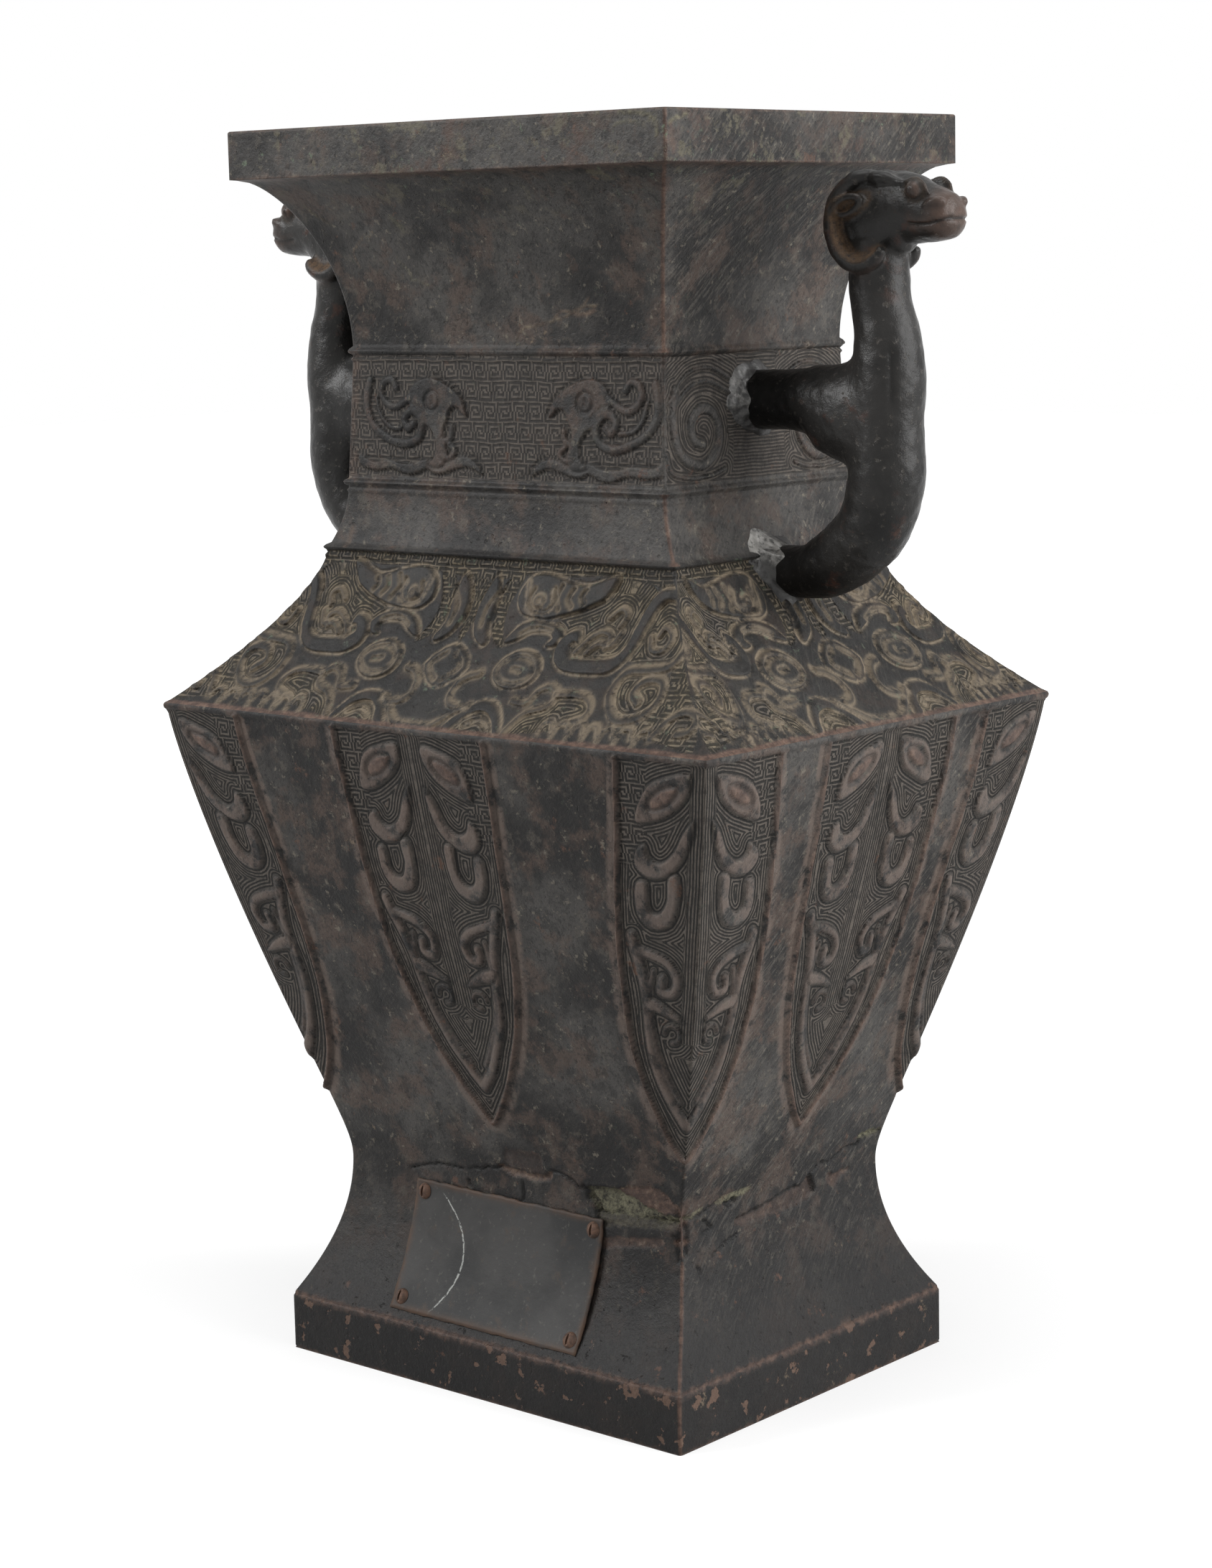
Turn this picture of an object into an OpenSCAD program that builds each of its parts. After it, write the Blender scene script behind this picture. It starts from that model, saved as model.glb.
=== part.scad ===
// Bronze hu vase: a rectangular cast vessel with soldered beast-head handles
// and a screwed-on name plate. Front is towards -Y and the handles are on +X and -X.

/* [Heights] */
// Height of the whole vase
vase_h = 470; // [455:1:520]
// Height of the plinth band at the foot
plinth_h = 22; // [16:1:30]
// Height of the thick band round the mouth
rim_h = 18; // [12:1:24]
// Height of a leaf's tip above the waist
leaf_lift = 27; // [22:1:34]

/* [Levels, as shares of the whole height] */
// Waist, where the vase is narrowest
waist_share = 0.1617; // [0.155:0.0001:0.175]
// Shoulder edge, where the body is widest
shoulder_share = 0.5447; // [0.53:0.0001:0.56]
// Ridge where the shoulder meets the neck
collar_share = 0.6691; // [0.655:0.0001:0.68]
// Ridge under the neck band
band_low_share = 0.7213; // [0.712:0.0001:0.73]
// Ridge over the neck band
band_high_share = 0.8255; // [0.815:0.0001:0.84]
// Centre of a handle's upper root
upper_root_share = 0.7862; // [0.778:0.0001:0.79]
// Centre of a handle's lower root
lower_root_share = 0.656; // [0.653:0.0001:0.662]

/* [Widths, left to right] */
// Width of the mouth
mouth_w = 213; // [205:1:225]
// Width of the throat, at the top of the neck band
throat_w = 153.6; // [150:0.2:158]
// Width of the bottom of the neck band
band_w = 157; // [154:1:162]
// Width at the collar ridge
collar_w = 172; // [168:1:178]
// Width at the shoulder edge
shoulder_w = 268; // [258:1:278]
// Width at the waist
waist_w = 168; // [160:1:176]
// Width of the plinth
plinth_w = 197.6; // [190:0.2:210]

/* [Depths, front to back] */
// Depth of the mouth
mouth_d = 167; // [160:1:175]
// Depth of the throat, at the top of the neck band
throat_d = 102; // [98:1:106]
// Depth of the bottom of the neck band
band_d = 108; // [104:1:112]
// Depth at the collar ridge
collar_d = 117; // [114:1:122]
// Depth at the shoulder edge
shoulder_d = 203; // [195:1:212]
// Depth at the waist
waist_d = 117.6; // [112:0.2:124]
// Depth of the plinth
plinth_d = 159; // [152:1:170]

/* [Wall and relief] */
// Thickness of the cast wall, measured level
wall = 4; // [3:0.1:5]
// Thickness of the wall at the mouth
rim_wall = 5; // [4:0.1:7]
// Thickness of the floor over the hollow foot
floor_t = 4; // [3:0.5:6]
// Step of the mouth band over the flare under it
rim_step = 2; // [1:0.5:4]
// Height of the flat relief forms over the wall
relief_h = 1; // [0.6:0.1:1.4]
// Height of the leaf ribs and level ridges over the wall
rib_h = 1.6; // [1.2:0.1:2.2]
// Width of a leaf rib
rib_w = 2.6; // [1.8:0.1:3.4]
// Width of a level ridge
ridge_w = 2.4; // [1.6:0.1:3.2]

/* [Leaf blades] */
// Width of a hanging leaf at its top
leaf_w = 76; // [70:1:80]

/* [Handles] */
// Radius of the upper root
upper_root_r = 10.8; // [9:0.1:12]
// Radius of the lower root
lower_root_r = 9.6; // [8:0.1:10]
// How far the solder spreads round a root
solder_w = 5; // [3:0.5:7]

/* [Name plate] */
// Width of the plate
plate_w = 94.6; // [80:0.2:110]
// Thickness of the plate
plate_t = 0.9; // [0.6:0.1:1.4]
// Height of the plate's lower edge above the plinth
plate_lift = 4; // [3:0.5:6]
// How far the plate stands off the wall at its middle
plate_bow = 1.4; // [0.8:0.1:2]
// Distance of a screw from the plate's edges
screw_inset = 4.4; // [4:0.1:6]
// Diameter of a screw head
screw_head_d = 6.2; // [5:0.1:7]
// Height of a screw head
screw_head_h = 1.8; // [1.2:0.1:2.4]
// Diameter of a screw shank
screw_d = 3; // [2:0.1:3.4]
// Width of a screw slot
slot_w = 1; // [0.6:0.1:1.4]

/* [Hidden] */
bronze = "#4a4640";
dark_bronze = "#2e2c2c";
solder_grey = "#8b8a86";
plate_grey = "#5a5c5c";
screw_brown = "#4a3029";
FRONT = 0;
SIDE = 1;
reach = 700;
rim_z = vase_h - rim_h;
waist_z = waist_share * vase_h;
shoulder_z = shoulder_share * vase_h;
collar_z = collar_share * vase_h;
band_low_z = band_low_share * vase_h;
band_high_z = band_high_share * vase_h;
upper_root_z = upper_root_share * vase_h;
lower_root_z = lower_root_share * vase_h;
leaf_tip_z = waist_z + leaf_lift;
shank_clear = 0.1;
solder_gap = 0.15;
bend_clear = 1.2;
screw_len = 7;
slot_depth = 0.9;
relief_root = 0.5;

// Half sizes at each level, [left to right, front to back]
plinth = [plinth_w, plinth_d] / 2;
waist = [waist_w, waist_d] / 2;
shoulder = [shoulder_w, shoulder_d] / 2;
collar = [collar_w, collar_d] / 2;
band = [band_w, band_d] / 2;
throat = [throat_w, throat_d] / 2;
mouth = [mouth_w, mouth_d] / 2;
lip = mouth - [rim_step, rim_step];

// Share of the way from waist to shoulder: straight and full, eased into the waist
function swell(s) =
    let (knee = 0.06, full = 1 - pow(1 - s, 1.22))
    (sqrt(full * full + knee * knee) - knee) / (sqrt(1 + knee * knee) - knee);

// Share of the way from throat to lip: part quarter ellipse and part parabola
function flare(t) = 0.6 * (1 - sqrt(1 - t * t)) + 0.4 * t * t;

// Share of the way from a to b at z, and the value at share t between a and b
function share(z, a, b) = (z - a) / (b - a);
function between(a, b, t) = a + (b - a) * t;

// Half size k of the vase at height z
function half(z, k) =
    z <= plinth_h ? plinth[k]
    : z <= waist_z ? between(waist[k], plinth[k], pow(share(z, waist_z, plinth_h), 2))
    : z <= shoulder_z ? between(waist[k], shoulder[k], swell(share(z, waist_z, shoulder_z)))
    : z <= collar_z ? between(collar[k], shoulder[k], pow(share(z, collar_z, shoulder_z), 1.5))
    : z <= band_low_z ? between(band[k], collar[k], pow(share(z, band_low_z, collar_z), 2))
    : z <= band_high_z ? between(throat[k], band[k], share(z, band_high_z, band_low_z))
    : between(throat[k], lip[k], flare(min(1, share(z, band_high_z, rim_z))));

function steps(from, to, n) = [for (i = [0 : n - 1]) from + (to - from) * i / n];

// Heights at which the outline has a point
knee_z = waist_z + 28;
levels = concat([0], steps(plinth_h, waist_z, 8), steps(waist_z, knee_z, 5), steps(knee_z, shoulder_z, 6),
    steps(shoulder_z, collar_z, 6), steps(collar_z, band_low_z, 4), [band_low_z],
    steps(band_high_z, rim_z, 9), [rim_z]);

// Closes a right-hand outline with its mirror image
function both_sides(pts) = concat(pts, [for (i = [len(pts) - 1 : -1 : 0]) [-pts[i][0], pts[i][1]]]);

// Extrudes an outline in [across, z] right through the vase, from front or side
module through(k) {
    rotate([90, 0, 90 * k]) linear_extrude(height = reach, center = true) children();
}

// The outline of face k between its levels, moved out by grow
module face_slab(k, grow) {
    through(k) polygon(both_sides(concat(
        [for (z = levels) [half(z, k) + grow, z]],
        [[mouth[k] + grow, rim_z], [mouth[k] + grow, vase_h]])));
}

// The whole outer form, moved out by grow
module skin(grow) {
    intersection() {
        face_slab(FRONT, grow);
        face_slab(SIDE, grow);
    }
}

// The inside of the vessel, from the floor up through the mouth
module vessel_cavity() {
    floor_z = waist_z;
    inner = [for (z = levels) if (z > floor_z) z];
    intersection_for (k = [FRONT, SIDE])
        through(k) polygon(both_sides(concat(
            [[half(floor_z, k) - wall, floor_z]],
            [for (z = inner) [half(z, k) - wall, z]],
            [[mouth[k] - rim_wall, vase_h], [mouth[k] - rim_wall, vase_h + 1]])));
}

// The hollow under the floor, open at the bottom
module foot_cavity() {
    top_z = waist_z - floor_t;
    inner = [for (z = levels) if (z < top_z) z];
    intersection_for (k = [FRONT, SIDE])
        through(k) polygon(both_sides(concat(
            [[plinth[k] - wall, -1]],
            [for (z = inner) [half(z, k) - wall, z]],
            [[half(top_z, k) - wall, top_z]])));
}

// A level ridge round the vase with a rounded nose
module ridge(z, h, w) {
    intersection_for (k = [FRONT, SIDE])
        through(k) polygon(both_sides([
            [half(z - w / 2, k) - 1, z - w / 2], [half(z - w / 2, k) + h / 2, z - w / 2],
            [half(z, k) + h, z - w / 4], [half(z, k) + h, z + w / 4],
            [half(z + w / 2, k) + h / 2, z + w / 2], [half(z + w / 2, k) - 1, z + w / 2]]));
}

module ridges() {
    ridge(shoulder_z - ridge_w / 2, rib_h / 2, ridge_w);
    ridge(collar_z, rib_h, ridge_w);
    ridge(band_low_z, rib_h, ridge_w);
    ridge(band_high_z, rib_h, ridge_w);
}

// Catmull-Rom curve through the points of p, n points to a span
function curve_point(a, b, c, d, t) =
    (2 * b + (c - a) * t + (2 * a - 5 * b + 4 * c - d) * t * t + (3 * b - a - 3 * c + d) * t * t * t) / 2;
function curve(p, n) = concat(
    [for (i = [0 : len(p) - 2], j = [0 : n - 1])
        curve_point(p[max(0, i - 1)], p[i], p[i + 1], p[min(len(p) - 1, i + 2)], j / n)],
    [p[len(p) - 1]]);
function closed_curve(p, n) =
    let (m = len(p))
    [for (i = [0 : m - 1], j = [0 : n - 1])
        curve_point(p[(i + m - 1) % m], p[i], p[(i + 1) % m], p[(i + 2) % m], j / n)];

// Share of a leaf's half width at share t of its height: full at the top, pointed at the tip
function leaf_share(t) = 0.8 * (1 - pow(1 - t, 4.2)) + 0.2 * t;
function leaf_side(w, tip, top, n) =
    [for (i = [0 : n]) let (t = pow(i / n, 1.5)) [w * leaf_share(t), tip + (top - tip) * t]];

leaf_top_z = shoulder_z - ridge_w;

// The rib that bounds a leaf, right half
function leaf_rib() = concat(
    leaf_side(leaf_w / 2, leaf_tip_z, leaf_top_z, 9),
    [for (i = [9 : -1 : 0]) leaf_side(leaf_w / 2 - rib_w, leaf_tip_z + 2 * rib_w, leaf_top_z, 9)[i]]);

// A strip of width w[i] at each point of a centre line, as one outline
function side_of(p, w, s) =
    [for (i = [0 : len(p) - 1])
        let (a = p[max(0, i - 1)], b = p[min(len(p) - 1, i + 1)], d = b - a, l = norm(d))
        p[i] + s * w[i] / 2 * [-d[1], d[0]] / l];
function back(v) = [for (i = [len(v) - 1 : -1 : 0]) v[i]];
function widths(w, n) = [for (c = curve([for (v = w) [v, 0]], n)) c[0]];
function strip(p, w, n) =
    let (line = curve(p, n), wide = widths(w, n))
    concat(side_of(line, wide, 1), back(side_of(line, wide, -1)));

// Outlines drawn in a frame from = [half width, lowest z, highest z], moved into the frame to
function fitted(forms, from, to) =
    [for (f = forms) [for (p = f)
        [p[0] * to[0] / from[0], between(to[1], to[2], share(p[1], from[1], from[2]))]]];

// Right half of a leaf's flat forms, in [across, z] from the leaf's axis
leaf_eye = closed_curve([[6, 250], [15, 248.6], [23.5, 244.5], [27.4, 237], [27, 231],
    [19, 233], [11, 237.5], [6.4, 243.5]], 2);
leaf_hook = strip([[4.5, 233], [7, 224.5], [13, 217.5], [21, 214.6], [26.4, 218], [24.6, 223], [20.8, 221.6]],
    [1.4, 5, 5.6, 5, 4.4, 3.6, 2], 2);
leaf_cup = strip([[11, 213], [10.8, 203], [13, 197.4], [18.4, 195.8], [23.2, 199], [24.4, 209]],
    [4.6, 4.8, 5, 5, 4.8, 4.4], 2);
leaf_inner_rib = strip([[27.6, 189], [23, 177], [20.4, 168], [18.6, 156], [15, 142], [8.4, 129], [0, 119.5]],
    [0.8, 3, 3.2, 3, 3, 3, 3.6], 2);
leaf_scroll = strip([[24, 184], [17.5, 182.4], [11, 179.6], [7.6, 174.5], [9.4, 169.2], [14, 169.6],
    [14, 174]], [3.4, 3, 2.6, 2.4, 2.2, 2, 1.6], 2);
leaf_thorn = strip([[19, 164.5], [12.5, 162.6], [5, 158.6]], [4.4, 3.4, 0.8], 2);
leaf_frame = [38, 103, 253.6];
leaf_half_forms = fitted([leaf_eye, leaf_hook, leaf_cup, leaf_inner_rib, leaf_scroll, leaf_thorn],
    leaf_frame, [leaf_w / 2, leaf_tip_z, leaf_top_z]);

// An oval outline with n corners
function oval(cx, cz, rx, rz, n) =
    [for (i = [0 : n - 1]) [cx + rx * cos(360 * i / n), cz + rz * sin(360 * i / n)]];
function even(w, p) = [for (i = p) w];
// A strip of one width
function line_strip(p, w, n) = strip(p, even(w, p), n);

// Right half of the beast mask on the shoulder, seen from in front
mask_plume = closed_curve([[8, 308], [3.4, 301], [3, 293], [6, 287], [12, 284], [13.2, 286.4], [10.4, 291],
    [10.8, 300]], 1);
mask_crescent = strip([[19, 308.4], [14.4, 303], [13.6, 296], [16, 289.4], [21, 285]],
    [4.4, 5, 5, 4.4, 2], 2);
mask_horn = closed_curve([[64, 309.6], [61, 302.6], [52, 298.2], [40, 295.4], [31, 294], [24.4, 295.4],
    [21.4, 300], [24, 306.4], [31, 309.2], [43, 307.6], [54, 306.4]], 2);
mask_brow = strip([[21.4, 286.4], [26, 290.6], [34, 292.6], [43, 291.4], [47, 287.8], [43, 286]],
    [1.4, 3, 3.4, 3, 2.6, 1.2], 2);
mask_nostril = line_strip([[18, 275.4], [12, 272.6], [9.4, 268], [11.4, 264.8], [15.6, 264.4]], 2, 2);
mask_jaw = line_strip([[18, 259], [20.4, 262], [26, 264.6], [32.6, 264], [37.4, 261.2], [40, 259]], 2, 1);
mask_cheek = line_strip([[40.4, 268.4], [46.4, 267.8], [50, 271.6], [55, 272], [57.6, 268], [52, 264.8],
    [47, 262], [45, 259]], 2.2, 1);
mask_whisker = line_strip([[59, 270.6], [66, 271.4], [73, 270.2], [76, 267], [71, 263.4]], 2.2, 1);
mask_body = strip([[93, 303], [87, 303.6], [83.4, 300], [81.6, 292], [79, 284.6], [74, 281], [65, 280],
    [57, 280.4], [51.6, 283.2], [50.4, 287], [53.6, 289.4]],
    [1.6, 3.4, 4, 4, 4, 4, 3.8, 3.4, 3, 2.6, 1.6], 1);
mask_tail = strip([[101, 291], [100.4, 284], [92, 281.4], [84, 279.4], [82.4, 274], [85.6, 268.4], [92, 266],
    [99, 268], [101.6, 272.6], [97, 276], [92.6, 273]],
    [1.6, 2.6, 3, 3.2, 3.4, 3.4, 3.2, 3, 2.6, 2.2, 1.4], 1);
mask_curl = line_strip([[88.4, 289.6], [90.6, 286.6], [95, 287], [96.4, 291], [93, 293.4]], 1.8, 1);
mask_fin = line_strip([[59, 285], [63, 289], [68, 290.8], [71.4, 287.6]], 2, 1);
mask_claw = line_strip([[110, 262], [114, 267.4], [120, 267.8], [123, 264.4], [118.4, 262.6]], 2.4, 1);
mask_lozenge = [[0, 283.8], [10.7, 276.5], [0, 269.2]];
mask_eye = oval(34.3, 277, 10.5, 6.2, 20);
mask_forms = [mask_plume, mask_crescent, mask_horn, mask_brow, mask_jaw, mask_body, mask_tail, mask_lozenge,
    mask_eye];
mask_small_forms = [mask_nostril, mask_cheek, mask_whisker, mask_curl, mask_fin, mask_claw];
mask_cuts = [[[0, 281.4], [7.2, 276.5], [0, 271.6]], oval(34.3, 277, 8.6, 4.6, 16),
    line_strip([[35.6, 303.4], [37.2, 299.6], [34.2, 296.6], [30, 296.8], [27.6, 300], [29, 303.6]], 1.2, 1)];
mask_small_cuts = [
    line_strip([[41, 305.4], [39.6, 301.6], [41.4, 298.4]], 1.4, 1),
    line_strip([[46.6, 304.8], [45.2, 301.6], [47, 299.4]], 1.4, 1),
    line_strip([[52, 304.6], [51, 302.4], [52.4, 300.6]], 1.2, 1)];
mask_islands = [oval(34.3, 277, 6.8, 3.2, 14)];
mask_frame = [134, 256, 314.5];
mask_box = [shoulder[FRONT], shoulder_z, collar_z];
// The front has all of the mask. On the narrow sides its outer part, past the cheek, is closer together.
mask_fit = 0.97;
mask_cheek_u = 48;
side_squeeze = 0.46;
function mask_u(u, k) = k == FRONT || u < mask_cheek_u ? mask_fit * u
    : mask_fit * mask_cheek_u + side_squeeze * (u - mask_cheek_u);
function fit_mask(forms, k) =
    fitted([for (f = forms) [for (p = f) [mask_u(p[0], k), p[1]]]], mask_frame, mask_box);
function mask_set(main, small, k) = fit_mask(k == FRONT ? concat(main, small) : main, k);

// Right half of the pair of birds on the neck band: each looks to the middle
bird_head = closed_curve([[20, 365.6], [23.6, 372], [29, 375.4], [36, 378], [43, 378], [48.4, 374.6],
    [49, 370], [45, 366], [38, 363.6], [31, 364.6], [27.6, 367], [22.6, 364]], 1);
bird_crest = strip([[49.8, 371.6], [53, 368], [58.6, 367], [63, 370.4], [63, 375.4], [59, 377.6],
    [55.4, 374.6]], [1.4, 2.6, 2.8, 2.8, 2.6, 2.2, 1.4], 2);
bird_wing = strip([[66, 364], [63, 359], [56, 355.4], [48.6, 354.6], [43, 358], [43.6, 364], [48.6, 366.4],
    [51.6, 363], [49, 360.6]], [1.4, 3, 3.4, 3.4, 3, 2.6, 2.2, 1.8, 1.2], 1);
bird_breast = strip([[27.6, 361], [31.6, 357], [33.4, 353], [29.4, 350.4], [26.4, 353.4]],
    [1.6, 2.8, 2.6, 2.2, 1.4], 2);
bird_ground = strip([[73, 349], [67, 346.4], [59, 347], [52, 345.4], [45, 345.6], [39, 347.4], [31, 346.6],
    [21.4, 348], [13, 345]], [1.6, 3.4, 3.4, 3.6, 3.6, 3.4, 3.4, 3, 1.4], 1);
bird_frame = [78.5, 339, 388];
bird_box = [band[FRONT], band_low_z, band_high_z];
bird_forms = fitted([bird_head, bird_crest, bird_wing, bird_breast, bird_ground], bird_frame, bird_box);
bird_cuts = fitted([oval(37.7, 370.4, 4, 4, 14)], bird_frame, bird_box);
bird_islands = fitted([oval(37.7, 370.4, 2.4, 2.4, 10)], bird_frame, bird_box);
// Right half of the curls beside the upper root on the neck's sides
side_curl = strip([[44, 372], [46.6, 364], [45.4, 355], [39, 349.4], [30.6, 349.6], [24.8, 355], [26, 361.6],
    [31.6, 365], [37, 362], [37, 357.4], [33, 356]],
    [1.4, 3, 3.4, 3.4, 3.2, 3, 2.8, 2.6, 2.2, 1.8, 1.2], 1);
side_curl_frame = [54, 339, 388];
side_forms = fitted([side_curl], side_curl_frame, [band[SIDE], band_low_z, band_high_z]);

// Places a right-half outline on face k: s mirrors it, cx moves its axis
function on_face(pts, s, cx) = [for (p = pts) [cx + s * p[0], p[1]]];
// The same on the corner at side c, where the axis follows the sloping corner
function on_corner(pts, k, c) = [for (p = pts) [c * (half(p[1], k) - p[0]), p[1]]];

module face_leaf(forms, cx) {
    for (s = [-1, 1], f = forms) polygon(on_face(f, s, cx));
}
module corner_leaf(forms, k) {
    for (c = [-1, 1], f = forms) polygon(on_corner(f, k, c));
}

// Forms with grooves cut into them and raised islands left in the grooves
module carved(forms, cuts, islands) {
    difference() {
        face_leaf(forms, 0);
        face_leaf(cuts, 0);
    }
    face_leaf(islands, 0);
}

// The shoulder of face k, from corner to corner less a margin
module shoulder_face(k) {
    margin = 0.8;
    polygon(both_sides([for (z = levels) if (z >= shoulder_z && z <= collar_z) [half(z, k) - margin, z]]));
}

// The wall round each root, which stays plain for the solder
module root_margin() {
    for (root = [[upper_root_z, upper_root_r], [lower_root_z, lower_root_r]])
        translate([0, 0, root[0]]) rotate([0, 90, 0])
            cylinder(h = reach, r = root[1] + solder_w + 1.5, center = true, $fn = 48);
}

// Relief of height h: outlines on the front and back, and on the two sides
module relief(k, h) {
    intersection() {
        skin(h);
        difference() {
            through(k) children();
            face_slab(1 - k, -relief_root);
            root_margin();
        }
    }
}

module all_relief() {
    for (k = [FRONT, SIDE]) {
        relief(k, rib_h) {
            face_leaf([leaf_rib()], 0);
            corner_leaf([leaf_rib()], k);
        }
        relief(k, relief_h) {
            face_leaf(leaf_half_forms, 0);
            corner_leaf(leaf_half_forms, k);
            intersection() {
                carved(mask_set(mask_forms, mask_small_forms, k), mask_set(mask_cuts, mask_small_cuts, k),
                    fit_mask(mask_islands, k));
                shoulder_face(k);
            }
        }
    }
    relief(FRONT, relief_h) carved(bird_forms, bird_cuts, bird_islands);
    relief(SIDE, relief_h) carved(side_forms, [], []);
}

// Name plate: a bent sheet on the front of the foot
plate_z = [plinth_h + plate_lift, waist_z - 3];
plate_steps = 8;
function plate_level(i) = plate_z[0] + (plate_z[1] - plate_z[0]) * i / plate_steps;
// How far the back of the plate lies from the axis at height z
function plate_back(z) =
    half(z, SIDE) + plate_bow * sin(180 * (z - plate_z[0]) / (plate_z[1] - plate_z[0]));
// Angle by which the plate leans back at height z
function plate_tilt(z) = atan((plate_back(z - 1) - plate_back(z + 1)) / 2);

// Puts its children at each screw, with +Z along the screw and away from the wall
module plate_screw_axes() {
    for (x = [-1, 1] * (plate_w / 2 - screw_inset), z = [plate_z[0] + screw_inset, plate_z[1] - screw_inset])
        translate([x, -plate_back(z) - plate_t, z]) rotate([90 - plate_tilt(z), 0, 0]) children();
}

// The holes for the screws, through the plate and the wall
module shank_holes() {
    plate_screw_axes() translate([0, 0, -screw_len])
        cylinder(h = 2 * screw_len, d = screw_d + 2 * shank_clear, $fn = 24);
}

// The vessel before its relief
module plain_form() {
    skin(0);
    ridges();
}

module vase_body() {
    color(bronze) difference() {
        union() {
            plain_form();
            all_relief();
        }
        vessel_cavity();
        foot_cavity();
        shank_holes();
    }
}

// Handles. A handle lies in the plane y = 0 and its tube is a row of oval rings.
ring_sides = 18;

// A ring of half sizes r = [in the plane, across it], square to the direction d
function ring(c, d, r) =
    let (u = d / norm(d), n = [-u[2], 0, u[0]])
    [for (i = [0 : ring_sides - 1]) let (a = 360 * i / ring_sides)
        c + n * r[0] * cos(a) + [0, 1, 0] * r[1] * sin(a)];

// The three-cornered faces between rings of m points, for n gaps
function tube_walls(n, m) =
    [for (j = [0 : n - 1], i = [0 : m - 1], h = [0, 1])
        let (a = j * m + i, b = j * m + (i + 1) % m, c = b + m, d = a + m)
        h == 0 ? [a, c, d] : [a, b, c]];

// A closed tube through stations [x, z, radius in the plane, radius across]
module tube(stations, n) {
    line = curve(stations, n);
    last = len(line) - 1;
    rings = [for (i = [0 : last])
        let (a = line[max(0, i - 1)], b = line[min(last, i + 1)])
        ring([line[i][0], 0, line[i][1]], [b[0] - a[0], 0, b[1] - a[1]], [line[i][2], line[i][3]])];
    m = ring_sides;
    polyhedron(
        points = [for (r = rings, p = r) p],
        faces = concat(
            [[for (i = [m - 1 : -1 : 0]) i]],
            tube_walls(last, m),
            [[for (i = [0 : m - 1]) last * m + i]]));
}

// Half width of the neck at the upper root: handle sizes in x and z are measured from there
neck_x = half(upper_root_z, FRONT);
handle_base = [neck_x, 0, upper_root_z];
root_x = neck_x - wall;
low_root_x = half(lower_root_z, FRONT) - wall;
drop = upper_root_z - lower_root_z;
// End of the lower root's straight run, just past its solder, and the loop's place
low_run = low_root_x - neck_x + wall + 2 * solder_w + bend_clear;
loop_x = 57;
// The loop: from the lower root out, up and past the upper branch into the neck of the beast
loop_stations = [
    [low_root_x - neck_x, -drop, lower_root_r, lower_root_r], [low_run, -drop, lower_root_r, lower_root_r],
    [between(low_run, loop_x, 0.253), 2.2 - drop, 11.4, 11.2],
    [between(low_run, loop_x, 0.582), 8.8 - drop, 12.6, 12.3],
    [between(low_run, loop_x, 0.861), 18.6 - drop, 13.3, 13],
    [loop_x, -27.6, 13.9, 13.6], [57.2, -16.5, 13.7, 13.4], [57, -5.4, 13.5, 13.2], [58.3, 5.7, 13.3, 13],
    [58.3, 15, 12.7, 12.4], [57.6, 24, 11.6, 11.5], [55.7, 32.1, 10.8, 10.8], [54.7, 41, 10.9, 10.7],
    [54.6, 56, 10.8, 9.8]];
// The upper branch, from its root into the loop
branch_stations = [
    [-wall, 0, upper_root_r, upper_root_r], [13, 0, upper_root_r, upper_root_r], [20.5, -0.1, 11.4, 11],
    [27.5, -0.4, 13.1, 11.6], [32.7, -1.6, 15.2, 12], [37, -3, 17.2, 12.4], [44, -4, 18.2, 12],
    [54, -4, 16, 11]];
// The head, from nape to muzzle
head_stations = [
    [36.9, 62, 4, 3], [39.7, 62, 10.6, 6.8], [44.3, 62, 14.8, 9.4], [52.5, 62.6, 16.6, 10.4],
    [60.5, 64, 15.2, 10.2], [67.5, 65.6, 13.2, 9.8], [74.5, 64.5, 10.8, 9.4], [81.5, 63.2, 8.9, 9],
    [86.5, 63.2, 7.2, 7.6], [88.8, 63.3, 3.8, 4.2]];

// Middle of the skull, [x, z], and the half sizes of the flat cheeks between the horns
skull = [54.5, 61.5];
cheek = [12.6, 15.4];
cheek_depth = 16;

// One horn: balls along a curl from the crown back round the skull and forward under the jaw
horn_curl = [13, 16];
horn_turn = [78, 320];
horn_root_y = 3;
horn_spread = 6.8;
horn_r = 2.9;
horn_steps = 11;
function horn_ball(t) =
    let (a = between(horn_turn[0], horn_turn[1], t), r = 1 - 0.1 * t)
    [skull[0] + horn_curl[0] * r * cos(a),
        horn_root_y + horn_spread * sin(90 * min(1, 2.2 * t)),
        skull[1] + horn_curl[1] * r * sin(a)];
function horn_ball_r(t) = horn_r * min(1, 0.35 + 3 * (1 - t));
module horn() {
    for (i = [0 : horn_steps - 1]) hull() {
        for (t = [i, i + 1] / horn_steps) translate(horn_ball(t)) sphere(r = horn_ball_r(t), $fn = 10);
    }
}

// Eye, brow, nostril and ear of the right cheek: [x, y, z, radius] of each ball
eye = [75.5, 7.6, 72.1, 3];
brow = [[67, 5.4, 77, 2.2], [75, 6.2, 75.4, 1.9]];
nostril = [[84, 5, 68.2, 1.8], [79.8, 7.4, 67.6, 1]];
ear_root = [57, 9, 66.6, 1.6];
ear = [49, 9.6, 67.6, 4.6];
ear_flat = [1, 0.5, 0.6];
ear_turn = 12;
ear_cup = [50.4, 12.2, 67.6, 3];
ear_cup_flat = [1.4, 0.6, 0.7];

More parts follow.
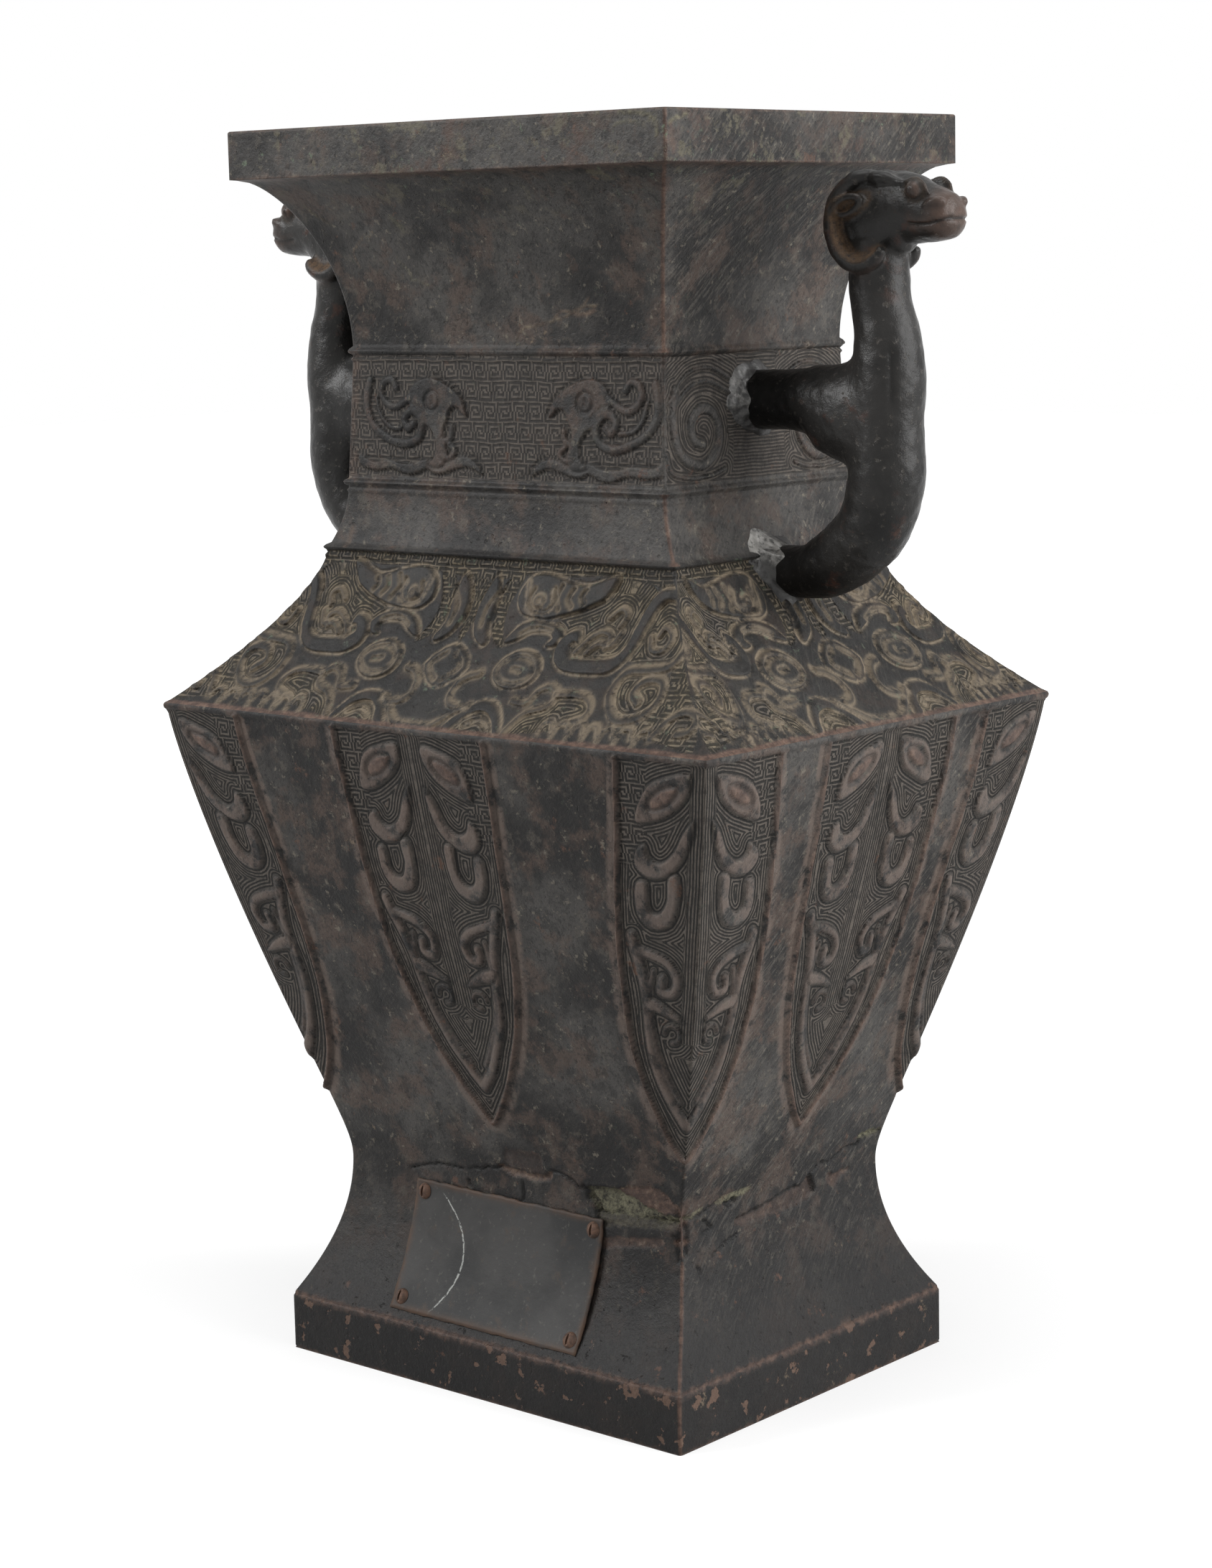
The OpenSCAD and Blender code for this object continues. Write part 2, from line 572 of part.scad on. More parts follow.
module ball(b) {
    translate([b[0], b[1], b[2]]) sphere(r = b[3], $fn = 12);
}
module ball_chain(balls) {
    hull() for (b = balls) ball(b);
}
module flat_ball(b, flat, turn) {
    translate([b[0], b[1], b[2]]) rotate([0, 0, turn]) scale(flat) sphere(r = b[3], $fn = 12);
}
module cheek_details() {
    ball(eye);
    ball_chain(brow);
    ball_chain(nostril);
    difference() {
        hull() {
            flat_ball(ear, ear_flat, ear_turn);
            ball(ear_root);
        }
        flat_ball(ear_cup, ear_cup_flat, 0);
    }
    horn();
}

// The cheeks, which close the space inside the curl of the horns
module cheeks() {
    translate([skull[0], 0, skull[1]]) rotate([90, 0, 0]) scale([cheek[0], cheek[1], 1])
        cylinder(h = cheek_depth, r = 1, center = true, $fn = 28);
}

// The slit of the mouth, cut mouth_deep into the muzzle
mouth_z = 60.9;
mouth_deep = 0.9;
mouth_gap = 1;
mouth_corner_x = 74.5;
module mouth_slit() {
    difference() {
        translate([mouth_corner_x, -cheek_depth, mouth_z])
            cube([2 * cheek_depth, 2 * cheek_depth, mouth_gap]);
        tube([for (h = head_stations) [h[0] - mouth_deep, h[1], h[2] - mouth_deep, h[3] - mouth_deep]], 1);
    }
}

module beast_handle() {
    difference() {
        translate(handle_base) difference() {
            union() {
                tube(loop_stations, 2);
                tube(branch_stations, 2);
                tube(head_stations, 1);
                cheeks();
                cheek_details();
                mirror([0, 1, 0]) cheek_details();
            }
            mouth_slit();
        }
        plain_form();
    }
}
module handle_right() {
    color(dark_bronze) beast_handle();
}
module handle_left() {
    color(dark_bronze) rotate([0, 0, 180]) beast_handle();
}

// A cone of solder from x to x + long round a root, which fills the corner between tube and wall
module solder_ring(x, long, z, r) {
    color(solder_grey) difference() {
        translate([x, 0, z]) rotate([0, 90, 0]) difference() {
            cylinder(h = long, r1 = r + solder_w + 1, r2 = r + 0.8, $fn = 48);
            translate([0, 0, -1]) cylinder(h = long + 2, r = r + solder_gap, $fn = 48);
        }
        plain_form();
    }
}
module upper_solder() {
    solder_ring(root_x, wall + solder_w, upper_root_z, upper_root_r);
}
module lower_solder() {
    solder_ring(low_root_x, wall + 2 * solder_w, lower_root_z, lower_root_r);
}

module name_plate() {
    color(plate_grey) difference() {
        rotate([90, 0, 90]) linear_extrude(height = plate_w, center = true) polygon(concat(
            [for (i = [0 : plate_steps]) [-plate_back(plate_level(i)), plate_level(i)]],
            [for (i = [plate_steps : -1 : 0]) [-plate_back(plate_level(i)) - plate_t, plate_level(i)]]));
        shank_holes();
    }
}

// A round-headed screw: its head is a slice of a ball, with a slot up and down the plate
module plate_screw() {
    ball_r = (pow(screw_head_d / 2, 2) + pow(screw_head_h, 2)) / (2 * screw_head_h);
    difference() {
        intersection() {
            translate([0, 0, screw_head_h - ball_r]) sphere(r = ball_r, $fn = 48);
            cylinder(h = screw_head_h, d = screw_head_d, $fn = 48);
        }
        translate([-slot_w / 2, -screw_head_d, screw_head_h - slot_depth])
            cube([slot_w, 2 * screw_head_d, screw_head_h]);
    }
    translate([0, 0, -screw_len]) cylinder(h = screw_len + 0.2, d = screw_d, $fn = 24);
}
module plate_screws() {
    color(screw_brown) plate_screw_axes() plate_screw();
}

vase_body();
handle_right();
handle_left();
upper_solder();  // upper_solder_right
lower_solder();  // lower_solder_right
rotate([0, 0, 180]) upper_solder();  // upper_solder_left
rotate([0, 0, 180]) lower_solder();  // lower_solder_left
name_plate();
plate_screws();
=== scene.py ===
import bpy
import numpy as np
from mathutils import Matrix


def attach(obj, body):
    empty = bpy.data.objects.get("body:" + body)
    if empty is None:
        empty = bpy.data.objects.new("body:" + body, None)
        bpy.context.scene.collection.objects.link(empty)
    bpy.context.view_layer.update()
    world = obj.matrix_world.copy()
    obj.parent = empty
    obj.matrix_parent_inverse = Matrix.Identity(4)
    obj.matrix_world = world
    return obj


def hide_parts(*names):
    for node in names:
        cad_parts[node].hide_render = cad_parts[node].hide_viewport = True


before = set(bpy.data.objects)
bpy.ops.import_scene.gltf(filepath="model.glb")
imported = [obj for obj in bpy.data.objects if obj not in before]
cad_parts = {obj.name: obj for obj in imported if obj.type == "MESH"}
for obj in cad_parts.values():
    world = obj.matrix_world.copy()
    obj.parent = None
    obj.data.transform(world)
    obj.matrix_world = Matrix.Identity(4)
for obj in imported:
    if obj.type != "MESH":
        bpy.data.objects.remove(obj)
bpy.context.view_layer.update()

# Bronze hu vase. Shapes are worked out in millimetres, front towards -Y, and put into metres
# when a mesh is made.
MM = 0.001

# Camera
CAMERA_AZIMUTH = 41.2
CAMERA_ELEVATION = 9.13
CAMERA_ROLL = -1.27
CAMERA_DISTANCE = 1.2718
CAMERA_TARGET_Z = 0.2224
CAMERA_LENS = 76.52
CAMERA_SHIFT_X = 0.0014


def axes_matrix(right, up, back, at):
    """The pose whose x, y and z axes are right, up and back."""
    return Matrix([[right[i], up[i], back[i], at[i]] for i in range(3)] + [[0, 0, 0, 1]])


def place_camera():
    """The camera looks along a ray at an azimuth and an elevation, turned about it by the roll."""
    azimuth, elevation, roll = np.radians([CAMERA_AZIMUTH, CAMERA_ELEVATION, CAMERA_ROLL])
    back = np.array([np.sin(azimuth) * np.cos(elevation), -np.cos(azimuth) * np.cos(elevation),
                     np.sin(elevation)])
    level = np.cross(-back, [0, 0, 1])
    level /= np.linalg.norm(level)
    upright = np.cross(level, -back)
    right = level * np.cos(roll) + upright * np.sin(roll)
    up = -level * np.sin(roll) + upright * np.cos(roll)
    at = np.array([0, 0, CAMERA_TARGET_Z]) + back * CAMERA_DISTANCE
    data = bpy.data.cameras.new("camera")
    data.lens = CAMERA_LENS
    data.sensor_width = 36
    data.shift_x = CAMERA_SHIFT_X
    data.clip_start = 0.05
    data.clip_end = 30
    camera = bpy.data.objects.new("camera", data)
    camera.matrix_world = axes_matrix(right, up, back, at)
    bpy.context.scene.collection.objects.link(camera)
    bpy.context.scene.camera = camera


place_camera()

# Sizes of the vase, in mm: half sizes are [left to right, front to back]
HEIGHT, PLINTH_Z, RIM_H = 470.0, 22.0, 18.0
WAIST_Z, SHOULDER_Z, COLLAR_Z = 76.0, 256.0, 314.5
BAND_LOW_Z, BAND_HIGH_Z = 339.0, 388.0
RIM_Z = HEIGHT - RIM_H
PLINTH = [98.8, 79.5]
WAIST = [84.0, 58.8]
SHOULDER = [134.0, 101.5]
COLLAR = [86.0, 58.5]
BAND = [78.5, 54.0]
THROAT = [76.8, 51.0]
MOUTH = [106.5, 83.5]
LIP = [104.5, 81.5]
WALL, RIM_WALL, FLOOR_T = 4.0, 5.0, 4.0
CORNER_R, EDGE_R = 1.3, 0.9
RIDGE_W, RIDGE_H = 2.4, 1.5
LEAF_HALF, LEAF_TIP_Z, LEAF_TOP_Z = 38.0, 103.0, 253.6
# The level where the foot's panels meet the body's
BODY_Z = WAIST_Z + 18
# Real height of relief that is drawn 1 mm high
RELIEF = 1.25
# The outline between its levels: powers of two curves, the waist's soft knee, and how much of the
# flare is a quarter circle
SWELL_POWER, SHOULDER_POWER, KNEE, FLARE_ROUND = 1.22, 1.5, 0.06, 0.6


def share(z, a, b):
    """Share of the way from a to b, held between 0 and 1."""
    return np.clip((z - a) / (b - a), 0, 1)


def half(z, k):
    """Half size of the vase at height z, across for k = 0 and deep for k = 1. The foot and the
    lower neck are parabolas, the body is one less a power, with a hyperbola's knee at the waist,
    the shoulder is a power, the band is straight, and the flare is a quarter circle and a parabola."""
    full = 1 - (1 - share(z, WAIST_Z, SHOULDER_Z)) ** SWELL_POWER
    swell = (np.sqrt(full ** 2 + KNEE ** 2) - KNEE) / (np.sqrt(1 + KNEE ** 2) - KNEE)
    t = share(z, BAND_HIGH_Z, RIM_Z)
    flare = FLARE_ROUND * (1 - np.sqrt(1 - t ** 2)) + (1 - FLARE_ROUND) * t ** 2
    curves = [
        (PLINTH_Z, np.full_like(z, PLINTH[k])),
        (WAIST_Z, WAIST[k] + (PLINTH[k] - WAIST[k]) * share(z, WAIST_Z, PLINTH_Z) ** 2),
        (SHOULDER_Z, WAIST[k] + (SHOULDER[k] - WAIST[k]) * swell),
        (COLLAR_Z,
         COLLAR[k] + (SHOULDER[k] - COLLAR[k]) * share(z, COLLAR_Z, SHOULDER_Z) ** SHOULDER_POWER),
        (BAND_LOW_Z, BAND[k] + (COLLAR[k] - BAND[k]) * share(z, BAND_LOW_Z, COLLAR_Z) ** 2),
        (BAND_HIGH_Z, BAND[k] + (THROAT[k] - BAND[k]) * share(z, BAND_LOW_Z, BAND_HIGH_Z)),
        (RIM_Z, THROAT[k] + (LIP[k] - THROAT[k]) * flare)]
    out = np.full_like(z, MOUTH[k])
    for top, value in reversed(curves):
        out = np.where(z <= top + 1e-6, value, out)
    return out


def ridge(z, centre, width, height):
    """A rounded bar: height times the square root of one less the square of the share across."""
    return height * np.sqrt(np.clip(1 - ((z - centre) / (width / 2)) ** 2, 0, 1))


def ridges(z):
    """Height of the level ridges: one under the shoulder's edge, and one with a finer one below it
    at the collar and at both edges of the neck band."""
    out = ridge(z, SHOULDER_Z - 1.3, 3.0, 0.9)
    for centre in (COLLAR_Z, BAND_LOW_Z, BAND_HIGH_Z):
        out = np.maximum(out, ridge(z, centre, RIDGE_W, RIDGE_H))
        out = np.maximum(out, ridge(z, centre - 3.1, 1.4, 0.5))
    return out


def waves(u, z, seed, pitch):
    """Smooth uneven values from about -1 to 1: a sum of sine waves of random direction, length and
    phase over its own usual size."""
    draw = np.random.default_rng(seed)
    count = 6
    out = np.zeros(np.broadcast(u, z).shape)
    for _ in range(count):
        angle, phase = draw.uniform(0, 2 * np.pi, 2)
        stretch = draw.uniform(0.6, 1.8) * 2 * np.pi / pitch
        out += np.sin((u * np.cos(angle) + z * np.sin(angle)) * stretch + phase)
    return out / (1.4 * count ** 0.5)


def curve(points, n, closed=False):
    """Catmull-Rom curve through the points, n to a span."""
    p = np.asarray(points, float)
    if n == 1 and not closed:
        return p
    if closed:
        a, b, c, d = np.roll(p, 1, 0), p, np.roll(p, -1, 0), np.roll(p, -2, 0)
    else:
        q = np.vstack([2 * p[0] - p[1], p, 2 * p[-1] - p[-2]])
        a, b, c, d = q[:-3], q[1:-2], q[2:-1], q[3:]
    t = (np.arange(n) / n)[None, :, None]
    a, b, c, d = (v[:, None, :] for v in (a, b, c, d))
    out = (2 * b + (c - a) * t + (2 * a - 5 * b + 4 * c - d) * t ** 2
           + (3 * b - a - 3 * c + d) * t ** 3) / 2
    out = out.reshape(-1, p.shape[1])
    return out if closed else np.vstack([out, p[-1]])


def oval(cx, cz, rx, rz, n=20):
    """Points of an ellipse."""
    a = 2 * np.pi * np.arange(n) / n
    return np.stack([cx + rx * np.cos(a), cz + rz * np.sin(a)], 1)


def soft(x, lo, hi):
    """0 below lo, 1 above hi, and an S curve between."""
    t = np.clip((x - lo) / (hi - lo), 0, 1)
    return t * t * (3 - 2 * t)


def bell(x, width):
    """1 at 0, falling as the exponential of minus the square of x over the width."""
    return np.exp(-(x / width) ** 2)


MASK_NAMES = ("ground", "fret", "rim", "wear", "run", "crust", "raw")
# Distance, in mm, that stands for far from any form
RUN_FAR = 9.0


class Carving:
    """Relief over points (a, z): its height, and masks for the ground of fine lines and its key-fret
    share, rims (tan dust on the shoulder, painted shade in the trenches elsewhere), worn edges, crust
    and raw metal; run is the distance that the lines follow."""

    def __init__(self, a, z):
        self.a, self.z = a.ravel(), z.ravel()
        self.shape = a.shape
        for key in ("height", *MASK_NAMES):
            setattr(self, key, np.zeros(a.size))
        self.run += RUN_FAR

    def near(self, path, reach):
        """Indices of the points within reach of the path's box."""
        lo, hi = path.min(0) - reach, path.max(0) + reach
        return np.flatnonzero((self.a > lo[0]) & (self.a < hi[0]) & (self.z > lo[1]) & (self.z < hi[1]))

    def away(self, index, path, closed=False):
        """Distance from points to the nearest stretch of the path; inside a closed one it is negative."""
        ends = np.roll(path, -1, 0) if closed else path[1:]
        starts = path if closed else path[:-1]
        a, z = self.a[index][:, None], self.z[index][:, None]
        d = ends - starts
        t = ((a - starts[:, 0]) * d[:, 0] + (z - starts[:, 1]) * d[:, 1]) / np.maximum((d ** 2).sum(1), 1e-9)
        t = np.clip(t, 0, 1)
        gap = np.hypot(a - starts[:, 0] - t * d[:, 0], z - starts[:, 1] - t * d[:, 1])
        nearest = gap.min(1)
        if closed:
            crosses = (starts[:, 1] > z) != (ends[:, 1] > z)
            slope = np.where(np.abs(d[:, 1]) < 1e-9, 1e-9, d[:, 1])
            beyond = a < starts[:, 0] + (z - starts[:, 1]) * d[:, 0] / slope
            nearest = np.where((crosses & beyond).sum(1) % 2 == 1, -nearest, nearest)
        return nearest

    def raise_to(self, key, i, value):
        """Mask key is at least value at the points i."""
        mask = getattr(self, key)
        mask[i] = np.maximum(mask[i], value)

    def plot(self, outline, fret):
        """A recessed ground of fine lines inside the outline."""
        path = curve(outline, 3, True)
        i = self.near(path, 2)
        inside = soft(-self.away(i, path, True), -0.3, 0.3)
        self.raise_to("ground", i, inside)
        self.raise_to("fret", i, inside * fret)
        self.height[i] -= 0.35 * inside * (self.height[i] > -0.2)

    def form(self, outline, height):
        """A raised flat form with rounded edges, a sunk line round it and no ground on it."""
        path = curve(outline, 3, True)
        i = self.near(path, 6)
        d = self.away(i, path, True)
        up = soft(-d, -0.35, 0.7)
        trench = bell(d - 0.75, 0.5)
        self.height[i] = np.where(up > 0, np.maximum(self.height[i] * (1 - up), 0) + height * up,
                                  self.height[i]) - 0.45 * trench
        self.ground[i] *= 1 - up
        self.rim[i] = np.maximum(self.rim[i] * (1 - up), bell(d - 0.5, 0.5))
        self.run[i] = np.minimum(self.run[i], np.abs(d))

    def bar(self, path, width, height, n=3, rim=0.8, wear=0.0):
        """A raised rounded line: its height falls as a half ellipse across it."""
        path = curve(path, n)
        i = self.near(path, 5)
        d = self.away(i, path)
        up = np.sqrt(np.clip(1 - (d / (width / 2)) ** 2, 0, 1))
        self.height[i] = np.maximum(self.height[i], height * up) - 0.2 * bell(d - width / 2 - 0.5, 0.5)
        self.ground[i] *= 1 - soft(up, 0, 0.3)
        self.raise_to("rim", i, rim * bell(d - width / 2, 0.8))
        self.raise_to("wear", i, wear * up)
        self.run[i] = np.minimum(self.run[i], np.maximum(d - width / 2, 0))

    def cut(self, path, width, depth, n=3, rim=0.7, closed=False):
        """A sunk line with a rim along it, which is tan dust on the shoulder and painted shade elsewhere."""
        path = curve(path, n, closed)
        if closed:
            path = np.vstack([path, path[0]])
        i = self.near(path, 4)
        d = self.away(i, path)
        self.height[i] -= depth * bell(d, width / 2)
        self.raise_to("rim", i, rim * bell(d - width / 2, 0.7))
        self.run[i] = np.minimum(self.run[i], d)

    def flake(self, outline, sink, crust, raw):
        """A flaked patch: the surface is sunk inside the outline and shows crust or raw metal."""
        path = curve(outline, 3, True)
        i = self.near(path, 3)
        inside = soft(-self.away(i, path, True), -0.4, 0.4)
        self.height[i] -= sink * inside
        self.crust[i] = np.maximum(self.crust[i] * (1 - inside * (raw > 0)), crust * inside)
        self.raw[i] = np.maximum(self.raw[i] * (1 - inside * (crust > 0)), raw * inside)

    def scratch(self, path, width, crust, raw):
        """A thin line of crust or raw metal, hardly sunk."""
        path = curve(path, 3)
        i = self.near(path, 3)
        line = bell(self.away(i, path), width / 2)
        self.height[i] -= 0.1 * line
        self.raise_to("crust", i, crust * line)
        self.raise_to("raw", i, raw * line)

    def grid(self, name):
        """A mask or the height in the shape of the grid."""
        return getattr(self, name).reshape(self.shape)

    def fade(self, u, z, turn, z0, z1):
        """The relief and its ground fade over the last 2 mm before a panel's edges."""
        edge = soft(z, z0, z0 + 2) * soft(z1 - z, 0, 2) * soft(half(z, turn % 2) - np.abs(u), 0, 2)
        for key in ("height", "ground", "fret"):
            setattr(self, key, getattr(self, key) * edge.ravel())


# Right half of a leaf's forms, [from its axis, height], drawn on a leaf 38 mm across each half
LEAF_EYE = [[6, 250], [15, 248.6], [23.5, 244.5], [27.4, 237], [27, 231], [19, 233], [11, 237.5], [6.4, 243.5]]
LEAF_EYE_CORE = [[11, 245.5], [17, 244.5], [22.4, 240.5], [22, 236.8], [16.5, 238], [11.5, 242]]
LEAF_HOOK = [[3.6, 234.5], [8, 229], [11.6, 221.5], [17, 217.6], [21.6, 219.6], [23.6, 223.4], [27.2, 221],
             [27, 215.4], [21.6, 211.8], [14.6, 212.6], [8.6, 217.6], [5.2, 225]]
LEAF_CUP = [[8.8, 213], [13.2, 212.6], [13.2, 204.6], [15.4, 199.6], [18.6, 198.4], [21.2, 201.6], [22.2, 209.6],
            [26.6, 208.8], [25.4, 198], [19.6, 193], [11.6, 195], [8.6, 202.6]]
LEAF_INNER = [[27.6, 189], [23, 177], [20.4, 168], [18.6, 156], [15, 142], [8.4, 129], [0, 117.5]]
LEAF_INNER_2 = [[18.1, 176.7], [18.9, 166.7], [16.4, 153.3], [13.9, 145], [9.7, 136.7], [3.1, 126.7]]
LEAF_SCROLL = [[24, 184], [17.5, 182.4], [11, 179.6], [7.6, 174.5], [9.4, 169.2], [14, 169.6], [14, 174]]
LEAF_THORN = [[20.4, 166.4], [12.5, 164.4], [4, 158.6], [12.5, 160.6], [18.6, 162]]
LEAF_SPIRAL = [8.6, 153.3]


def leaf_share(t):
    """Share of a leaf's half width at share t of its height: mostly one less a falling power, and
    a little of a straight taper."""
    return 0.8 * (1 - (1 - t) ** 4.2) + 0.2 * t


def carve_leaves(a, z):
    """Leaf relief over a, the distance from the nearest leaf's axis on a standard leaf."""
    carving = Carving(a, z)
    t = np.linspace(0, 1, 40) ** 1.5
    side = np.stack([(LEAF_HALF - 0.6) * leaf_share(t), LEAF_TIP_Z + (LEAF_TOP_Z - LEAF_TIP_Z) * t], 1)
    d = carving.away(np.arange(a.size), side)
    inside = (carving.a < np.interp(carving.z, side[:, 1], side[:, 0], left=-1, right=-1))
    within = soft(d, 0.6, 1.4) * inside
    carving.ground = within.copy()
    carving.height -= 0.45 * within
    carving.run = np.where(inside, np.clip(d - 1.3, 0, RUN_FAR), RUN_FAR)
    carving.fret = within * soft(carving.z, 212, 220) * soft(carving.a, 23, 26)
    carving.form(LEAF_EYE, 0.9)
    carving.cut(LEAF_EYE_CORE, 1.5, 0.8, closed=True)
    core = carving.away(np.arange(a.size), curve(LEAF_EYE_CORE, 3, True), True)
    carving.raw = 0.8 * soft(-core, 0.3, 1.2)
    carving.form(LEAF_HOOK, 0.95)
    carving.form(LEAF_CUP, 0.95)
    carving.bar(LEAF_INNER, 4.4, 1.1)
    carving.bar(LEAF_INNER_2, 1.8, 0.6)
    carving.bar(LEAF_SCROLL, 3.6, 1.0)
    carving.form(LEAF_THORN, 0.95)
    carving.bar(oval(*LEAF_SPIRAL, 3.4, 3.4, 12)[:10], 1.4, 0.7)
    column = carving.a < 5.5
    carving.run = np.where(column & (carving.z > 150), carving.a, carving.run)
    carving.bar(side, 1.8, 1.4, n=1, rim=0.2, wear=0.6)
    return carving


# Right half of the beast mask on the shoulder, [from its axis, height]: outlines of the ground with
# their key-fret share, raised forms with their height, and bars and cuts with their width
MASK_EYE, MASK_BIRD_EYE = [34.3, 277], [31.5, 300]
MASK_GROUNDS = [
    ([[0, 313], [0, 306], [20, 308], [40, 309], [62, 309.5], [80, 308], [88, 306], [88, 313]], 1.0),
    ([[21, 310], [13, 306], [11.2, 297], [13.6, 288], [21.6, 283.6], [17.6, 291], [17, 299], [20, 306]], 1.0),
    ([[62, 308], [60, 302], [52, 297.6], [42, 294], [46, 291], [50, 289], [58, 282], [70, 282.6], [77, 286],
      [79.4, 296], [84, 304], [76, 309]], 0.0),
    ([[18, 256.6], [20.4, 260.6], [26, 263.2], [32.4, 262.8], [37, 260.2], [40.4, 256.6]], 0.0),
    ([[43, 257], [46, 261], [50.6, 264], [57.3, 267], [58.4, 271], [66, 271.6], [73, 270.4], [77, 267],
      [75, 262.6], [68, 260.6], [56, 258.6]], 0.0),
    ([[84.6, 279], [82.6, 274], [85.8, 268], [92, 265.4], [99.4, 267.4], [103, 272.6], [99.6, 277.4],
      [93, 279]], 0.0),
    ([[104, 300], [97, 303], [88, 303], [84.6, 297], [82.4, 288], [80.6, 282.6], [92, 283], [100, 284.6],
      [104, 290]], 0.0),
    ([[106, 296], [103.4, 282], [104.6, 270], [100, 264], [94, 262], [106, 260], [118, 259], [130, 258],
      [124, 268], [114, 280]], 1.0),
    ([[0, 308], [0, 285], [2.4, 290], [2.6, 298], [4, 304]], 0.6)]
MASK_FORMS = [
    ([[8, 308], [3.4, 301], [3, 293], [6, 287], [12, 284], [13.2, 286.4], [10.4, 291], [10.8, 300]], 0.9),
    ([[65, 310.4], [62, 303], [56, 299.4], [48, 297], [40, 295], [32, 294], [25, 295], [21, 299.4], [21.6, 304.6],
      [26, 308.6], [33, 309.4], [43, 307.4], [53, 306]], 1.1),
    ([[21.4, 285.4], [24.6, 290.4], [31.6, 293], [39, 293], [45, 291.6], [48, 288.2], [45.4, 285.4], [41.4, 285.6],
      [43.4, 288], [40, 290], [33, 289.6], [27.6, 287]], 0.9),
    ([[1.2, 283.4], [10.7, 276.5], [1.2, 269.6], [-4, 276.5]], 0.7),
    (oval(*MASK_EYE, 10.5, 6.2), 1.0),
    ([[96, 306.4], [88, 306.6], [82.4, 303], [80, 295], [78.4, 288], [75.4, 284], [67, 282.4], [57.6, 282.6],
      [53.2, 285], [54.4, 287.6], [56.6, 287.2], [55.4, 291.2], [50.4, 290.2], [47.4, 286], [49, 281], [56, 277.6],
      [67, 277.6], [77, 279.4], [82.4, 286], [84.6, 294], [86.6, 300.4], [90, 303.2], [96, 303]], 1.0),
    ([[14.4, 256.4], [17.8, 261.2], [21.6, 264.4], [27, 266.4], [33.4, 265.8], [38.4, 262.6], [42.4, 257],
      [40, 257], [36.4, 260.8], [32, 263], [26.6, 263.2], [22, 261], [19, 257]], 0.8)]
MASK_BARS = [
    ([[18.1, 275.3], [14, 274.2], [10.6, 271.7], [9.3, 267.5], [11.5, 265], [15.6, 264.2]], 1.8),
    ([[0, 256.9], [8, 257.4], [12.6, 260], [16, 262.4], [21, 265]], 1.6),
    ([[39.6, 267.6], [46.5, 267.3], [49, 271.4], [54, 272.8], [58, 270.4], [57.3, 267], [50.6, 265], [47.3, 262.5],
      [44, 257]], 1.7),
    ([[58, 270.5], [65.6, 271.3], [72.3, 270.5], [76.5, 267.5], [75.6, 264.2], [70.6, 262.5]], 1.7),
    ([[104, 293], [104.4, 288], [101.6, 282.5], [92.3, 280.5], [84, 279.2], [81.6, 274.2], [84.6, 268.3],
      [91.5, 264.8], [99.6, 266.4], [104, 272], [101.8, 277.4], [95, 277.6], [91.3, 273.5], [95.6, 270.4]], 2.4),
    ([[88, 291], [90.6, 286.6], [95.6, 287], [97, 291.6], [93, 294.4], [91.4, 291.4]], 1.5),
    ([[57, 284], [61, 288.6], [66, 291.4], [70, 290], [69, 286.4]], 1.5),
    ([[62, 284], [66, 287.4], [71.6, 287.6], [74, 291.6]], 1.5),
    ([[66, 296], [70, 299.4], [73.6, 297.6], [72, 293.4]], 1.3),
    ([[110, 261], [113, 266.4], [118, 269.4], [123.6, 267.6], [124, 263.6], [119.4, 262.4]], 2.2),
    ([[24.5, 306], [27, 297.6], [33, 295.8], [38.2, 299], [37, 303.6]], 1.2)]
MASK_CUTS = [
    ([[37.6, 304.6], [38.4, 299.6], [34.6, 296.4], [29.8, 296.6], [26.8, 300], [28, 304]], 1.1),
    ([[41, 306], [39.4, 301.6], [41.6, 298]], 1.3), ([[46.6, 305.2], [45, 301.4], [47.2, 299]], 1.3),
    ([[52, 304.8], [50.6, 302.4], [52.4, 300]], 1.3), ([[12, 303], [7.4, 297], [7.8, 290.6]], 1.0),
    ([[2, 281], [7.4, 276.5], [2, 272]], 1.1), ([[32.4, 277.4], [36.6, 277]], 1.2),
    ([[24, 259], [30, 260.6], [35.4, 258.8]], 0.9), ([[28, 288.6], [35, 291.2], [42, 290.4]], 0.9)]
MASK_SCALLOPS = [62, 69, 76, 83, 90, 98, 106]
# Beyond the cheek, a narrow face draws the mask in by this factor
MASK_CHEEK, MASK_SQUEEZE = 46.6, 0.72 / 0.46


def carve_mask(u, z, axis, narrow):
    """Shoulder relief: grounds, forms, bars and cuts of the mask at the distance from its axis, which
    is why both halves are the same, over points that slow waves shift a little."""
    a = np.abs(u - axis)
    if narrow:
        a = np.where(a > MASK_CHEEK, MASK_CHEEK + (a - MASK_CHEEK) * MASK_SQUEEZE, a)
    carving = Carving(a + 0.35 * waves(u, z, 11, 26), z + 0.3 * waves(z, u, 12, 24))
    for outline, fret in MASK_GROUNDS:
        carving.plot(outline, fret)
    for outline, height in MASK_FORMS:
        carving.form(outline, height)
    for path, width in MASK_BARS:
        carving.bar(path, width + 0.6, 1.0)
    for path, width in MASK_CUTS:
        carving.cut(path, width + 0.3, 0.9)
    carving.cut(oval(*MASK_EYE, 8.2, 4.4), 1.3, 0.8, closed=True)
    carving.bar(oval(*MASK_BIRD_EYE, 1.6, 1.6, 8), 2.0, 1.5)
    for at in MASK_SCALLOPS:
        carving.bar([[at - 3, 258], [at - 2.4, 261.6], [at + 1, 262.6], [at + 3, 260]], 1.4, 0.7)
    carving.height += 0.12 * waves(u, z, 13, 9).ravel()
    return carving


